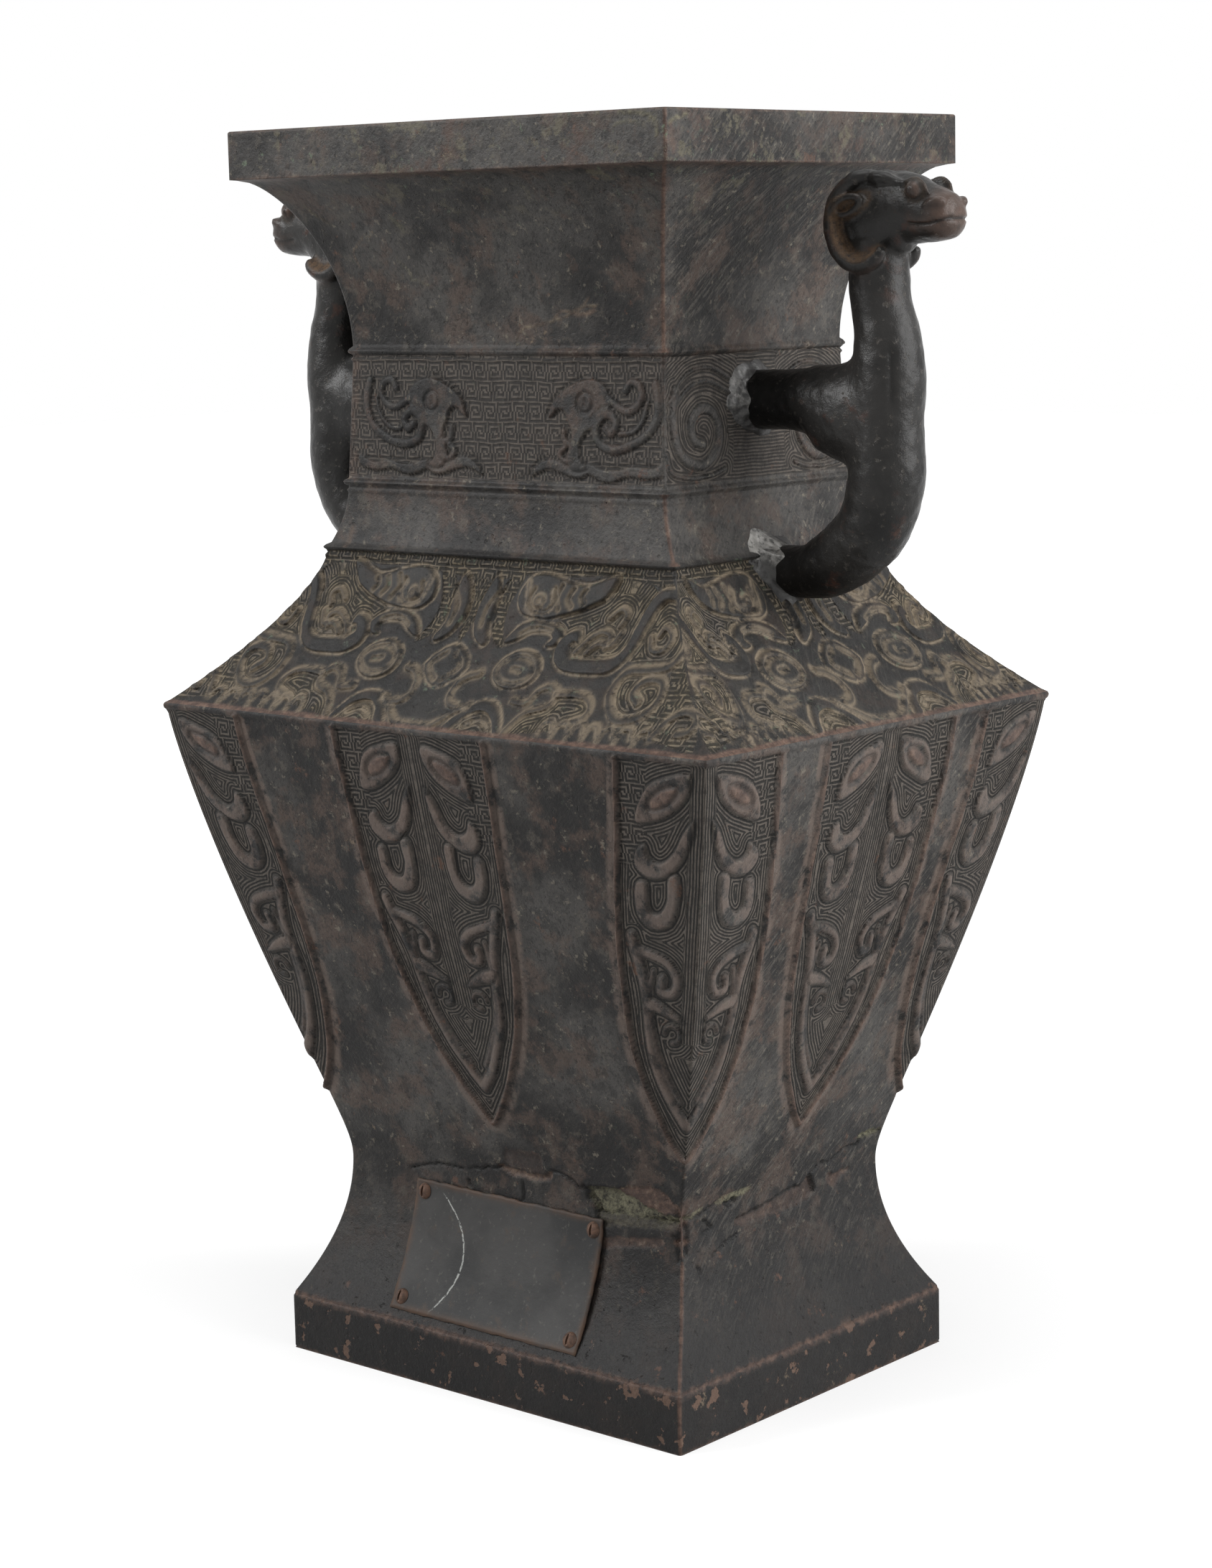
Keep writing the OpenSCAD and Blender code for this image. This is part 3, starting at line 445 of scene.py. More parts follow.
# Right half of the pair of birds on the neck band's wide faces, [from the axis, height]
BIRD_HEAD = [[19.8, 365], [22.6, 370.6], [27, 374.6], [33, 377.6], [39.6, 379], [45.6, 377.4], [49.6, 373.4],
             [49.8, 369], [47, 364.6], [43, 361], [38.6, 359.8], [35.6, 355.6], [36, 350.6], [38.6, 346.8],
             [32.4, 346.4], [29.2, 350], [30.4, 354.6], [31.4, 359], [29.6, 363.4], [27.7, 367.3], [24.6, 367.6],
             [21.9, 365.2]]
BIRD_CREST = [[49.6, 371], [52.4, 369.4], [57.4, 367.6], [61.9, 369.6], [64, 373], [62.6, 376.6], [58.8, 377.6],
              [56.4, 374.8]]
BIRD_WING = [[70, 377], [71.6, 368], [69, 361.6], [63.5, 357.6], [57.2, 355], [50.6, 354], [44.6, 356.2],
             [42.8, 361], [45, 365.6], [49.4, 366.2], [52, 362.8], [49.8, 359.8], [47.4, 361.2]]
BIRD_TAIL = [[54, 359.6], [59.6, 360.4], [64.4, 364.6], [66.6, 370.4]]
BIRD_BREAST = [[27.7, 360.3], [28.4, 356.6], [32.2, 354.4], [32, 350.4], [28.4, 349.4], [26, 352.2], [28.6, 354.4]]
BIRD_GROUND = [[75, 349.6], [67.7, 347.4], [60, 348.4], [52.4, 346.8], [45.8, 347.4], [40, 349], [34, 347.4],
               [28, 348.6], [21.4, 350.3], [15, 348], [12, 343.4], [16.1, 345], [21.4, 346.1], [30.9, 343.7],
               [36.1, 343.4], [39.8, 345], [45.6, 342.9], [51.9, 342.7], [58.2, 344.5], [67.7, 343.9], [75, 345.8]]
BIRD_EYE = [37.7, 370]
# Where the band's ground starts
BAND_GROUND_Z = 341


def band_ground(u, z, axis, seed):
    """A ground between the neck band's ridges, at the distance from the axis."""
    carving = Carving(np.abs(u - axis) + 0.25 * waves(u, z, seed, 22), z + 0.25 * waves(z, u, seed + 1, 20))
    carving.ground = soft(carving.z, 341.2, 342.2) * soft(-carving.z, -386.8, -386)
    return carving


def carve_birds(u, z, axis):
    """Neck band relief on the wide faces: two birds that look to the middle, on a key-fret ground."""
    carving = band_ground(u, z, axis, 21)
    carving.fret = carving.ground.copy()
    carving.run = np.clip(carving.z - BAND_GROUND_Z, 0, RUN_FAR)
    carving.form(BIRD_GROUND, 0.7)
    carving.form(BIRD_HEAD, 0.95)
    carving.bar(BIRD_CREST, 3.2, 1.0)
    carving.bar(BIRD_WING, 3.6, 1.0)
    carving.bar(BIRD_TAIL, 2.0, 0.7)
    carving.bar(BIRD_BREAST, 2.6, 0.9)
    carving.cut(oval(*BIRD_EYE, 3.7, 3.7, 14), 1.1, 0.7, closed=True)
    carving.cut([[BIRD_EYE[0], BIRD_EYE[1] - 1.5], [BIRD_EYE[0], BIRD_EYE[1] + 1.5]], 0.8, 0.5, n=1)
    carving.height *= 0.8
    return carving


# Right half of the pair of curls on the band's narrow faces
SIDE_CURL = [[46, 374.6], [48, 366], [47, 356.4], [41.4, 349.6], [32.6, 347.8], [25.4, 352.4], [22.8, 360],
             [26.8, 366.4], [33.4, 367.4], [38.4, 363], [37.4, 357], [32.6, 355.4]]


def carve_neck_side(u, z, axis):
    """Neck band relief on the narrow faces: a large curl each side, with arcs round it."""
    carving = band_ground(u, z, axis, 31)
    carving.run = carving.z - BAND_GROUND_Z
    carving.bar(SIDE_CURL, 4.0, 1.0)
    for lift in (5.5, 10.5):
        carving.bar([[50, 360 + lift], [44, 366 + lift], [36, 370.6 + lift], [26, 371 + lift], [16, 367 + lift]],
                    1.5, 0.5)
    carving.bar([[52, 352], [49.6, 346], [42, 344], [30, 343.6], [20, 346]], 1.5, 0.5)
    return carving


# Damage to the foot and waist, [across, height]: flakes with how deep they sink, their crust and
# raw metal, and cracks with their width
FRONT_FLAKES = [
    ([[0.8, 92.9], [-1.5, 86.4], [-4.5, 84.6], [0.1, 83.4], [11.4, 82.8], [18.4, 83], [22.6, 86.3], [18.5, 87.3],
      [19, 93.6], [12.6, 94.6], [6.1, 93]], 0.5, 0.0, 0.25),
    ([[-4.5, 85.4], [0.1, 85], [5.3, 84.6], [11.4, 84.4], [18.5, 84.8], [22.4, 87], [22.4, 84.6], [17, 82.4],
      [8, 82], [-1, 82.6]], 0.7, 0.1, 0.9),
    ([[54, 85.8], [65.5, 88.8], [74.8, 89.6], [82.6, 84.2], [81.3, 81], [72.2, 80], [64.4, 82.9]], 0.5, 0.0, 0.8),
    ([[44.1, 75.5], [56.8, 76.3], [70.1, 77.3], [81.6, 78.1], [80.7, 74.9], [66.7, 73.4], [53.4, 71.7], [45, 70.8]],
     0.4, 0.3, 0.1),
    ([[39.4, 83.6], [46.2, 85.2], [53.1, 85.6], [61, 83.6], [68, 81.2], [75.2, 79.6], [82, 79.2], [81.6, 77.1],
      [73.4, 75.9], [65.1, 76.4], [56.8, 75.8], [48.4, 75.1], [43.3, 75.4]], 1.5, 1.0, 0.0),
    ([[45.4, 65.7], [60.3, 68.6], [75, 70.4], [74.4, 67.1], [67.1, 66.4], [52.4, 63.4], [46.1, 62.1]],
     0.3, 0.0, 0.5)]
SIDE_FLAKES = [
    ([[-58.4, 79], [-54.3, 80.4], [-47.5, 81.4], [-47.9, 80.3], [-53.7, 78.4]], 0.5, 0.9, 0.0),
    ([[-39.7, 82.2], [-31.9, 83.2], [-21.5, 83.2], [-21.6, 81.5], [-28.3, 80.6], [-36.7, 80]], 0.5, 1.0, 0.0),
    ([[-36.3, 79.8], [-31.3, 80.2], [-27.9, 80.7], [-30, 78]], 1.6, 0.0, 0.0),
    ([[-28.2, 71.5], [-15.8, 72.3], [-1.1, 74.4], [5.3, 75.6], [12, 75.6], [16.6, 78.7], [19, 72.7], [12.3, 69.5],
      [-5.7, 68.8], [-16, 69.9], [-26.3, 69.3]], 0.9, 0.0, 0.35),
    ([[27.1, 76.8], [33.2, 75.9], [40.3, 76.5], [39.3, 74.8], [34.4, 72.9], [31.8, 70.4], [27.9, 73.3]],
     0.7, 0.0, 0.5),
    ([[44.3, 87], [44.5, 88.6], [48.4, 89.4], [57.3, 88.6], [57, 87.2], [49, 87]], 0.4, 1.0, 0.0)]
FRONT_CRACKS = [
    ([[-21.6, 76.6], [-19.8, 73.5]], 0.6), ([[6.6, 80.8], [7.4, 76.8], [6.6, 73.1]], 0.7),
    ([[22.9, 87.2], [29.7, 87], [35.7, 83.2], [38.7, 82.6]], 0.9),
    ([[38.3, 84], [40.8, 80.4], [43.7, 76.5], [43.8, 71]], 1.8), ([[43, 75], [52, 75], [66, 76], [82, 77.6]], 0.7),
    ([[-52, 76], [-38, 80], [-20, 81], [-4, 84.4]], 0.6),
    ([[82.2, 81], [83.2, 76], [82.0, 71], [83.8, 64]], 1.7), ([[79.4, 72.6], [81.6, 70.8]], 0.9)]
SIDE_CRACKS = [
    ([[-28.2, 71.9], [-15.8, 72.9], [-1.1, 75.1], [5.3, 76.2], [11, 75.8], [16.6, 79], [18.9, 73]], 1.2),
    ([[16.6, 78.7], [21.6, 82.2], [27.8, 81.6], [35.9, 85.2], [43.8, 84.7], [44.3, 87.2], [48.4, 88.1], [58, 87.4]],
     0.9),
    ([[-42.6, 62.1], [-37.2, 64.2], [-28.7, 66.4]], 0.9), ([[-47, 76.3], [-42.2, 72.3], [-47.3, 71.4]], 0.8),
    ([[-58.6, 79.2], [-50, 78.6], [-40, 81.4]], 0.6), ([[-58.0, 80], [-56.4, 74], [-57.4, 66]], 1.8),
    ([[-52, 60], [-50.6, 56.4]], 0.8)]


def carve_foot(u, z, wide):
    """Damage: crooked cracks and shallow flaked patches, as masks and sunk lines."""
    carving = Carving(u + 0.5 * waves(u, z, 41, 7), z + 0.4 * waves(z, u, 42, 6))
    for outline, sink, crust, raw in FRONT_FLAKES if wide else SIDE_FLAKES:
        carving.flake(outline, sink, crust, raw)
    for path, width in FRONT_CRACKS if wide else SIDE_CRACKS:
        carving.cut(path, width, 1.2, rim=1.0)
    return carving


def add_piece(name, mesh, masks):
    """A piece of the mesh, with its point masks."""
    for key, value in masks.items():
        mesh.attributes.new(key, "FLOAT", "POINT").data.foreach_set("value", value.astype(np.float32).ravel())
    piece = bpy.data.objects.new(name, mesh)
    bpy.context.scene.collection.objects.link(piece)
    return piece


def put_mesh(name, points, quads, masks=None, uv=None):
    """A mesh piece from points in mm, four-cornered faces, point masks and a UV map in metres."""
    mesh = bpy.data.meshes.new(name)
    count = len(quads)
    mesh.vertices.add(len(points))
    mesh.vertices.foreach_set("co", (np.asarray(points) * MM).ravel())
    mesh.loops.add(count * 4)
    mesh.loops.foreach_set("vertex_index", quads.ravel())
    mesh.polygons.add(count)
    mesh.polygons.foreach_set("loop_start", np.arange(count) * 4)
    mesh.polygons.foreach_set("use_smooth", np.ones(count, bool))
    if uv is not None:
        layer = mesh.uv_layers.new(name="face")
        layer.data.foreach_set("uv", (uv * MM)[quads.ravel()].astype(np.float32).ravel())
    mesh.update(calc_edges=True)
    mesh.validate()
    return add_piece(name, mesh, masks or {})


def grid_quads(rows, columns, around=False, start=0):
    """Corner indices of the faces of a grid; around joins its last column to its first."""
    i = np.arange(rows - 1)[:, None]
    j = np.arange(columns if around else columns - 1)[None, :]
    a = i * columns + j
    b = i * columns + (j + 1) % columns
    return np.stack([a, b, b + columns, a + columns], -1).reshape(-1, 4) + start


# The four faces, by quarter turns from the front; the photo shows the first two
FACES = {"front": 0, "right": 1, "back": 2, "left": 3}
SEEN = ("front", "right")
# Rows apart, in mm, and columns
BODY_PITCH = {"front": 0.68, "right": 0.76, "back": 1.35, "left": 1.35}
SHOULDER_PITCH = {"front": 0.5, "right": 0.5, "back": 1.1, "left": 1.1}
BAND_PITCH = {"front": 0.55, "right": 0.55, "back": 1.0, "left": 1.0}
FOOT_PITCH = {"front": 0.8, "right": 0.8, "back": 2.0, "left": 2.0}
SHOULDER_COLUMNS = {"front": 320, "right": 240, "back": 180, "left": 140}
BAND_COLUMNS = {"front": 270, "right": 190, "back": 150, "left": 110}
FOOT_COLUMNS = {"front": 220, "right": 170, "back": 90, "left": 70}
PLAIN_COLUMNS = {"front": 170, "right": 120, "back": 50, "left": 50}
# The relief's axes lie a little off the middle of the faces that show
MASK_AXIS = {"front": -3.3, "right": 4.0, "back": 0.0, "left": 0.0}
LEAF_AXIS = {"front": -4.6, "right": 3.4, "back": 0.0, "left": 0.0}
BIRD_AXIS = {"front": 3.5, "right": 0.0, "back": 0.0, "left": 0.0}


def turned(x, y, turn):
    """The front's x and y, turned by quarter turns to another face."""
    for _ in range(turn):
        x, y = -y, x
    return x, y


def face_surface(turn, u, z, height):
    """Point (u, z) of a face, moved out by height: corners are rounded by a quarter circle,
    and near a corner the height also moves the point sideways, so that both faces meet."""
    across, deep = turn % 2, 1 - turn % 2
    wide = half(z, across) + ridges(z)
    far = half(z, deep) + ridges(z)
    near_corner = np.clip(1 - (wide - np.abs(u)) / CORNER_R, 0, 1) * np.pi / 4
    bent = near_corner > 0
    x = np.where(bent, np.sign(u) * (wide - CORNER_R + CORNER_R * np.sin(near_corner)), u)
    y = -(far - CORNER_R * (1 - np.cos(near_corner)) + height * np.cos(near_corner))
    x = x + np.sign(u) * height * np.sin(near_corner)
    x, y = turned(x, y, turn)
    return np.stack([x, y, z], -1)


def face_panel(name, turn, u, z, carving, extra):
    """A grid on one face: the outline's surface, moved out by the carving's height and by extra."""
    height = RELIEF * carving.grid("height") + extra
    points = face_surface(turn, u, z, height)
    masks = {key: carving.grid(key) for key in MASK_NAMES}
    uv = np.stack([u, z], -1).reshape(-1, 2)
    return put_mesh(name, points.reshape(-1, 3), grid_quads(*u.shape), masks, uv)


def levels(z0, z1, pitch):
    """Even levels from z0 to z1, about a pitch apart."""
    return np.linspace(z0, z1, int(round((z1 - z0) / pitch)) + 1)


def shares_grid(z, turn, count):
    """Columns at even shares of the face's width, with three more on each rounded corner."""
    inner = (half(z, turn % 2) + ridges(z))[:, None] - CORNER_R
    u = np.linspace(-1, 1, count)[None, :] * inner
    corner = np.array([0.35, 0.7, 1.0])[None, :] * CORNER_R
    return np.concatenate([-(inner + corner)[:, ::-1], u, inner + corner], 1), z[:, None] * np.ones((1, count + 6))


def leaf_columns(z, turn, pitch):
    """Columns close together on the leaves, and far apart on the plain wall between them."""
    wide = (half(z, turn % 2) + ridges(z))[:, None]
    zone = np.minimum(LEAF_HALF + 5.0, wide / 2 - 1.0)
    t = np.linspace(0, 1, int(LEAF_HALF / pitch) + 1)[None, :]
    middle = t * zone
    corner = wide - zone + t * (zone - CORNER_R)
    gap_count = 14
    gap = zone + (np.arange(1, gap_count) / gap_count)[None, :] * (wide - 2 * zone)
    round_off = wide - CORNER_R * np.array([0.65, 0.3, 0.0])[None, :]
    right = np.concatenate([middle, gap, corner, round_off], 1)
    u = np.concatenate([-right[:, :0:-1], right], 1)
    return u, z[:, None] * np.ones((1, u.shape[1]))


def body_panel(side):
    """The body of one face: leaves round its axis and round both corners, in which the carving
    lies at the distance from the nearest of the three, over slow waves of a hand-finished wall."""
    turn = FACES[side]
    u, z = leaf_columns(levels(BODY_Z, SHOULDER_Z, BODY_PITCH[side]), turn, BODY_PITCH[side])
    middle = np.abs(u - LEAF_AXIS[side] * share(z, 60, SHOULDER_Z))
    # A corner's leaf is a little wider than the standard one
    corner = (half(z, turn % 2) - np.abs(u)) * LEAF_HALF / 40.5
    at_edge = soft(corner, 0.5, 4)
    nearest = np.minimum(middle, corner) + 0.3 * waves(u, z, 3 + turn, 30) * at_edge
    carving = carve_leaves(nearest, z + 0.3 * waves(z, u, 4 + turn, 26) * at_edge)
    flat = 0.25 * waves(u, z, 50 + turn, 90) * soft(corner, 0, 20)
    flat = flat * soft(z, BODY_Z, 110) * soft(SHOULDER_Z - z, 0, 8)
    return face_panel("body_" + side, turn, u, z, carving, flat)


def shoulder_panel(side):
    """The shoulder of one face: the mask's relief on the outline, with a worn lower edge."""
    turn = FACES[side]
    u, z = shares_grid(levels(SHOULDER_Z, COLLAR_Z, SHOULDER_PITCH[side]), turn, SHOULDER_COLUMNS[side])
    carving = carve_mask(u, z, MASK_AXIS[side], turn % 2 == 1)
    carving.fade(u, z, turn, SHOULDER_Z, COLLAR_Z)
    carving.wear = np.maximum(carving.wear, soft(SHOULDER_Z + 1.8 - carving.z, 0, 1))
    return face_panel("shoulder_" + side, turn, u, z, carving, 0)


def neck_panel(side):
    """The neck band of one face: birds or curls on the outline, with worn upright edges."""
    turn = FACES[side]
    u, z = shares_grid(levels(BAND_LOW_Z, BAND_HIGH_Z, BAND_PITCH[side]), turn, BAND_COLUMNS[side])
    carving = (carve_neck_side if turn % 2 else carve_birds)(u, z, BIRD_AXIS[side])
    carving.fade(u, z, turn, BAND_LOW_Z, BAND_HIGH_Z)
    carving.wear = np.maximum(carving.wear, 0.35 * soft(carving.a, 73, 78))
    return face_panel("neck_band_" + side, turn, u, z, carving, 0)


def foot_panel(side):
    """The plinth and the foot of one face on the outline, its edges softened by exponential bells.
    On the sides that show it has the cracks and flakes, and a ragged, worn corner towards the camera."""
    turn = FACES[side]
    z = np.concatenate([[0.0, 0.25, 0.9], levels(2, PLINTH_Z - 0.9, 2.2), [PLINTH_Z - 0.3, PLINTH_Z],
                        levels(PLINTH_Z + 0.8, BODY_Z, FOOT_PITCH[side])])
    u, z = shares_grid(z, turn, FOOT_COLUMNS[side])
    carving = carve_foot(u, z, turn % 2 == 0) if side in SEEN else Carving(u, z)
    to_corner = half(z, turn % 2) - np.abs(u)
    carving.height *= (soft(to_corner, 0, 2) * soft(BODY_Z - z, 0, 3)).ravel()
    plinth_edge = bell(carving.z - PLINTH_Z, 1.1) + 0.6 * soft(1.6 - carving.z, 0, 1.6)
    carving.wear = np.maximum(carving.wear, 0.78 * plinth_edge)
    if side in SEEN:
        near = u > 0 if side == "front" else u < 0
        ragged = 3.2 + 1.6 * waves(z, z, 43, 7)
        gone = soft(ragged - to_corner, 0, 1) * near * soft(z, 64, 68) * soft(-z, -86, -81)
        carving.raw = np.maximum(carving.raw, 0.8 * gone.ravel())
        carving.height -= 0.5 * (gone * soft(to_corner, 0, 1)).ravel()
        carving.wear = np.maximum(carving.wear, (0.85 * soft(to_corner, 1.6, 0.3) * near * (z < 64)).ravel())
    softened = -0.5 * soft(0.9 - z, 0, 0.9) - 0.6 * bell(z - PLINTH_Z, 0.5)
    return face_panel("foot_" + side, turn, u, z, carving, softened * soft(z, 0, 0.1))


# Scratches and chips on the plain walls, [across, height], with width, crust and raw metal
WALL_SCRATCHES = {
    "front": [
        ([[7.9, 393.1], [12, 396.6], [22.3, 398.2], [28, 399.6], [33, 400.7], [40, 403.8], [47.1, 404.4]],
         0.9, 0.5, 0.8),
        ([[26, 399.2], [31, 402.6], [38, 402.2], [44, 406.8]], 0.8, 0.3, 0.8),
        ([[7.9, 393.1], [7.2, 391.2], [8.4, 390.4]], 0.8, 0.8, 0.3),
        ([[36, 401.6], [41, 401.2], [46, 402.6]], 1.6, 0.2, 0.9),
        ([[-45.7, 421.3], [-40.4, 416.8], [-41, 414.4], [-36.6, 413.6], [-32.4, 412.0]], 0.7, 0.7, 0.0),
        ([[-82.6, 442.6], [-78.6, 438.6], [-72.7, 435.0]], 0.8, 0.6, 0.2),
        ([[-59.3, 430.2], [-64, 427], [-67.1, 424.5], [-66.1, 419.7]], 0.6, 0.3, 0.6),
        ([[-40.7, 436.4], [-37.4, 432.9]], 2.6, 0.5, 0.0), ([[-75.9, 308.2], [-74.6, 322]], 1.6, 0.2, 0.9),
        ([[86.4, 469.2], [92.1, 468.9], [98.4, 467.9], [102.0, 465.4], [102.9, 461]], 1.3, 0.9, 0.2),
        ([[84, 465], [90, 466.4], [95, 465.2]], 1.0, 0.6, 0.0)],
    "right": [([[-81.5, 465.0], [-78.0, 466.6], [-72.3, 467.9]], 1.3, 0.9, 0.2),
              ([[-80.5, 465], [-79.8, 458], [-79.0, 455]], 1.4, 0.0, 1.0)]}


def plain_panel(name, side, z):
    """A plain stretch of wall: slow waves, traced scratches, worn edges and a coppery seam down
    the corner nearest the camera."""
    turn = FACES[side]
    u, z = shares_grid(z, turn, PLAIN_COLUMNS[side])
    carving = Carving(u, z)
    for path, width, crust, raw in WALL_SCRATCHES.get(side, []):
        carving.scratch(path, width, crust, raw)
    carving.wear = 0.5 * soft(carving.z, HEIGHT - 1.5, HEIGHT) + 0.6 * bell(carving.z - RIM_Z, 1.0)
    if side in SEEN:
        to_corner = half(z, turn % 2) - u * (1 if side == "front" else -1)
        carving.wear = np.maximum(carving.wear, 0.85 * soft(to_corner, 1.7, 0.3).ravel())
    flat = 0.2 * waves(u, z, 60 + turn, 70) * soft(half(z, turn % 2) - np.abs(u), 0, 10)
    flat = flat * soft(z, z.min(), z.min() + 4) * soft(z.max() - z, 0, 4)
    rounded = 1 - np.sqrt(np.clip(1 - soft(z, HEIGHT - EDGE_R, HEIGHT) ** 2, 0, 1))
    flat = flat - 0.8 * EDGE_R * rounded
    return face_panel(name + "_" + side, turn, u, z, carving, flat)


def ring_at(wide, deep, z, r=CORNER_R):
    """A level rectangle with rounded corners."""
    n = 24
    s = np.linspace(-1, 1, n)
    sides = []
    for turn in range(4):
        w, d = (wide, deep) if turn % 2 == 0 else (deep, wide)
        u = np.concatenate([[-w + 0.15 * r], s * (w - r)])
        y = np.full(n + 1, -d)
        y[0] = -d + 0.15 * r
        sides.append(np.stack(turned(u, y, turn) + (np.full(n + 1, z),), 1))
    return np.vstack(sides)


def inset_ring(size, inset, z, r=CORNER_R):
    """A ring inset from half sizes."""
    return ring_at(size[0] - inset, size[1] - inset, z, r)


def wall_ring(z):
    """The inner side of the wall at height z."""
    return inset_ring([half(np.array([z]), k)[0] for k in (0, 1)], WALL, z)


def lining():
    """The inside of the vase: rectangles from the lip over the rim's top and down to the floor,
    and from the foot's edge up its hollow to the floor's underside."""
    to_middle = (30, 57)
    inside = [inset_ring(MOUTH, inset, z) for inset, z in (
        (0.75 * EDGE_R, HEIGHT), (2.0, HEIGHT), (RIM_WALL - 0.8, HEIGHT), (RIM_WALL - 0.1, HEIGHT - 0.7))]
    inside += [wall_ring(z) for z in np.concatenate([
        np.linspace(RIM_Z, BAND_HIGH_Z, 14), np.linspace(BAND_HIGH_Z, COLLAR_Z, 8)[1:],
        np.linspace(COLLAR_Z, SHOULDER_Z, 9)[1:], np.linspace(SHOULDER_Z, WAIST_Z + 4, 12)[1:]])]
    inside.append(inset_ring(WAIST, WALL + 1, WAIST_Z))
    inside += [inset_ring(WAIST, inset, WAIST_Z, 0.4) for inset in to_middle]
    hollow = [inset_ring(PLINTH, inset, z) for inset, z in ((0.6, 0.0), (2.0, 0.0), (WALL, 0.2))]
    hollow += [wall_ring(z) for z in np.linspace(1, WAIST_Z - FLOOR_T, 22)]
    hollow += [inset_ring(WAIST, inset, WAIST_Z - FLOOR_T, 0.4) for inset in to_middle]
    inside, hollow = np.array(inside), np.array(hollow)
    columns = inside.shape[1]
    points = np.concatenate([inside.reshape(-1, 3), hollow.reshape(-1, 3)])
    quads = np.concatenate([grid_quads(len(inside), columns, True),
                            grid_quads(len(hollow), columns, True, len(inside) * columns)[:, ::-1]])
    return put_mesh("lining", points, quads, uv=points[:, [0, 2]])


# The handles, in mm from the middle of the upper root: tubes by [x, z, radius in the bend, radius
# across], and chains on each side of the head by [x, y, z, radius]
NECK_X, UPPER_ROOT_Z, LOWER_ROOT_Z = 77.46, 369.5, 308.3
UPPER_ROOT_R, LOWER_ROOT_R = 10.7, 9.5
DROP = UPPER_ROOT_Z - LOWER_ROOT_Z
LOOP = [[7.2, -DROP, 9.5, 9.5], [21.4, -DROP, 9.5, 9.5], [30.4, 2.2 - DROP, 11.3, 11.1],
        [42.1, 8.8 - DROP, 12.5, 12.2], [52.0, 18.6 - DROP, 13.2, 12.9], [57.0, -27.6, 13.8, 13.5],
        [57.2, -16.5, 13.6, 13.3], [57.0, -5.4, 13.4, 13.1], [58.3, 5.7, 13.2, 12.9], [58.3, 15, 12.6, 12.3],
        [57.6, 24, 11.5, 11.4], [55.7, 32.1, 10.7, 10.7], [54.7, 41, 10.8, 10.6], [54.6, 56, 10.7, 9.7]]
BRANCH = [[-3, 0, 10.7, 10.7], [13, 0, 10.7, 10.7], [20.5, -0.1, 11.3, 10.9], [27.5, -0.4, 13.0, 11.5],
          [32.7, -1.6, 15.4, 12.6], [37, -3, 17.6, 13.4], [44, -4, 19.0, 13.5], [54, -4, 16.5, 12.5]]
HEAD = [[37.4, 62, 3.5, 2.6], [40.0, 62, 10.4, 6.4], [44.5, 62, 14.6, 9.0], [52.5, 62.6, 16.4, 10.0],
        [60.5, 64, 15.0, 9.9], [67.5, 65.5, 13.0, 9.6], [74.5, 64.5, 10.6, 9.3], [81.5, 63.3, 8.9, 9.0],
        [86.2, 63.2, 7.2, 7.6], [88.4, 63.3, 3.6, 4.0]]
# A horn's ellipse: middle, radii and the angles from which to which it runs
HORN_MIDDLE, HORN_CURL, HORN_TURN = [54.5, 61.5], [12.9, 15.8], [66, 322]
EYE = [75.7, 8.1, 72.0]
EAR, EAR_RADII, EAR_SLOPE = [49.5, 67.3], [5.2, 2.7], 0.27
BROW = [[54.5, 5.2, 76.2, 1.6], [58.0, 6.4, 76.6, 2.4], [62.5, 6.6, 76.4, 2.3], [66.5, 6.4, 75.2, 1.5],
        [70.5, 7.0, 74.5, 1.1], [75.6, 7.4, 75.5, 1.2], [79.0, 7.6, 73.7, 0.9], [80.6, 7.2, 70.6, 0.7]]
NOSTRIL = [[79.4, 8.4, 66.0, 0.8], [82.2, 8.3, 67.4, 1.4], [84.8, 7.3, 68.1, 1.8], [86.8, 5.6, 67.2, 1.2]]
HANDLE_VOXEL, QUICK_VOXEL = {1: 0.68, -1: 1.1}, 1.2


def tube(stations, n, rings=40):
    """Ellipses with radii a and b carried along a curve (x, y, z): a lies in the bend and b across
    it. The ends close in a point."""
    s = curve(stations, n)
    path, a, b = s[:, :3], s[:, 3], s[:, 4]
    along = np.gradient(path, axis=0)
    along /= np.linalg.norm(along, axis=1)[:, None]
    across = np.array([0, 1.0, 0]) - along * along[:, 1:2]
    across /= np.linalg.norm(across, axis=1)[:, None]
    bend = np.cross(along, across)
    t = 2 * np.pi * np.arange(rings) / rings
    body = (path[:, None] + bend[:, None] * (a[:, None] * np.cos(t))[..., None]
            + across[:, None] * (b[:, None] * np.sin(t))[..., None])
    ends = [np.repeat(path[i][None, None], rings, 1) for i in (0, -1)]
    return np.concatenate([ends[0], body, ends[1]])


def ball(x, y, z, rx, ry, rz, rows, rings):
    """Ellipsoid: radii times the sines and cosines of two angles."""
    p = np.linspace(0.001, np.pi - 0.001, rows)[:, None]
    t = (2 * np.pi * np.arange(rings) / rings)[None, :]
    return np.stack([x + rx * np.sin(p) * np.cos(t), y + ry * np.sin(p) * np.sin(t),
                     z + rz * np.cos(p) * np.ones_like(t)], -1)


def flat_path(stations):
    """Stations [x, z, a, b] in the middle plane as [x, y, z, a, b]."""
    s = np.asarray(stations, float)
    return np.column_stack([s[:, 0], np.zeros(len(s)), s[:, 1:]])


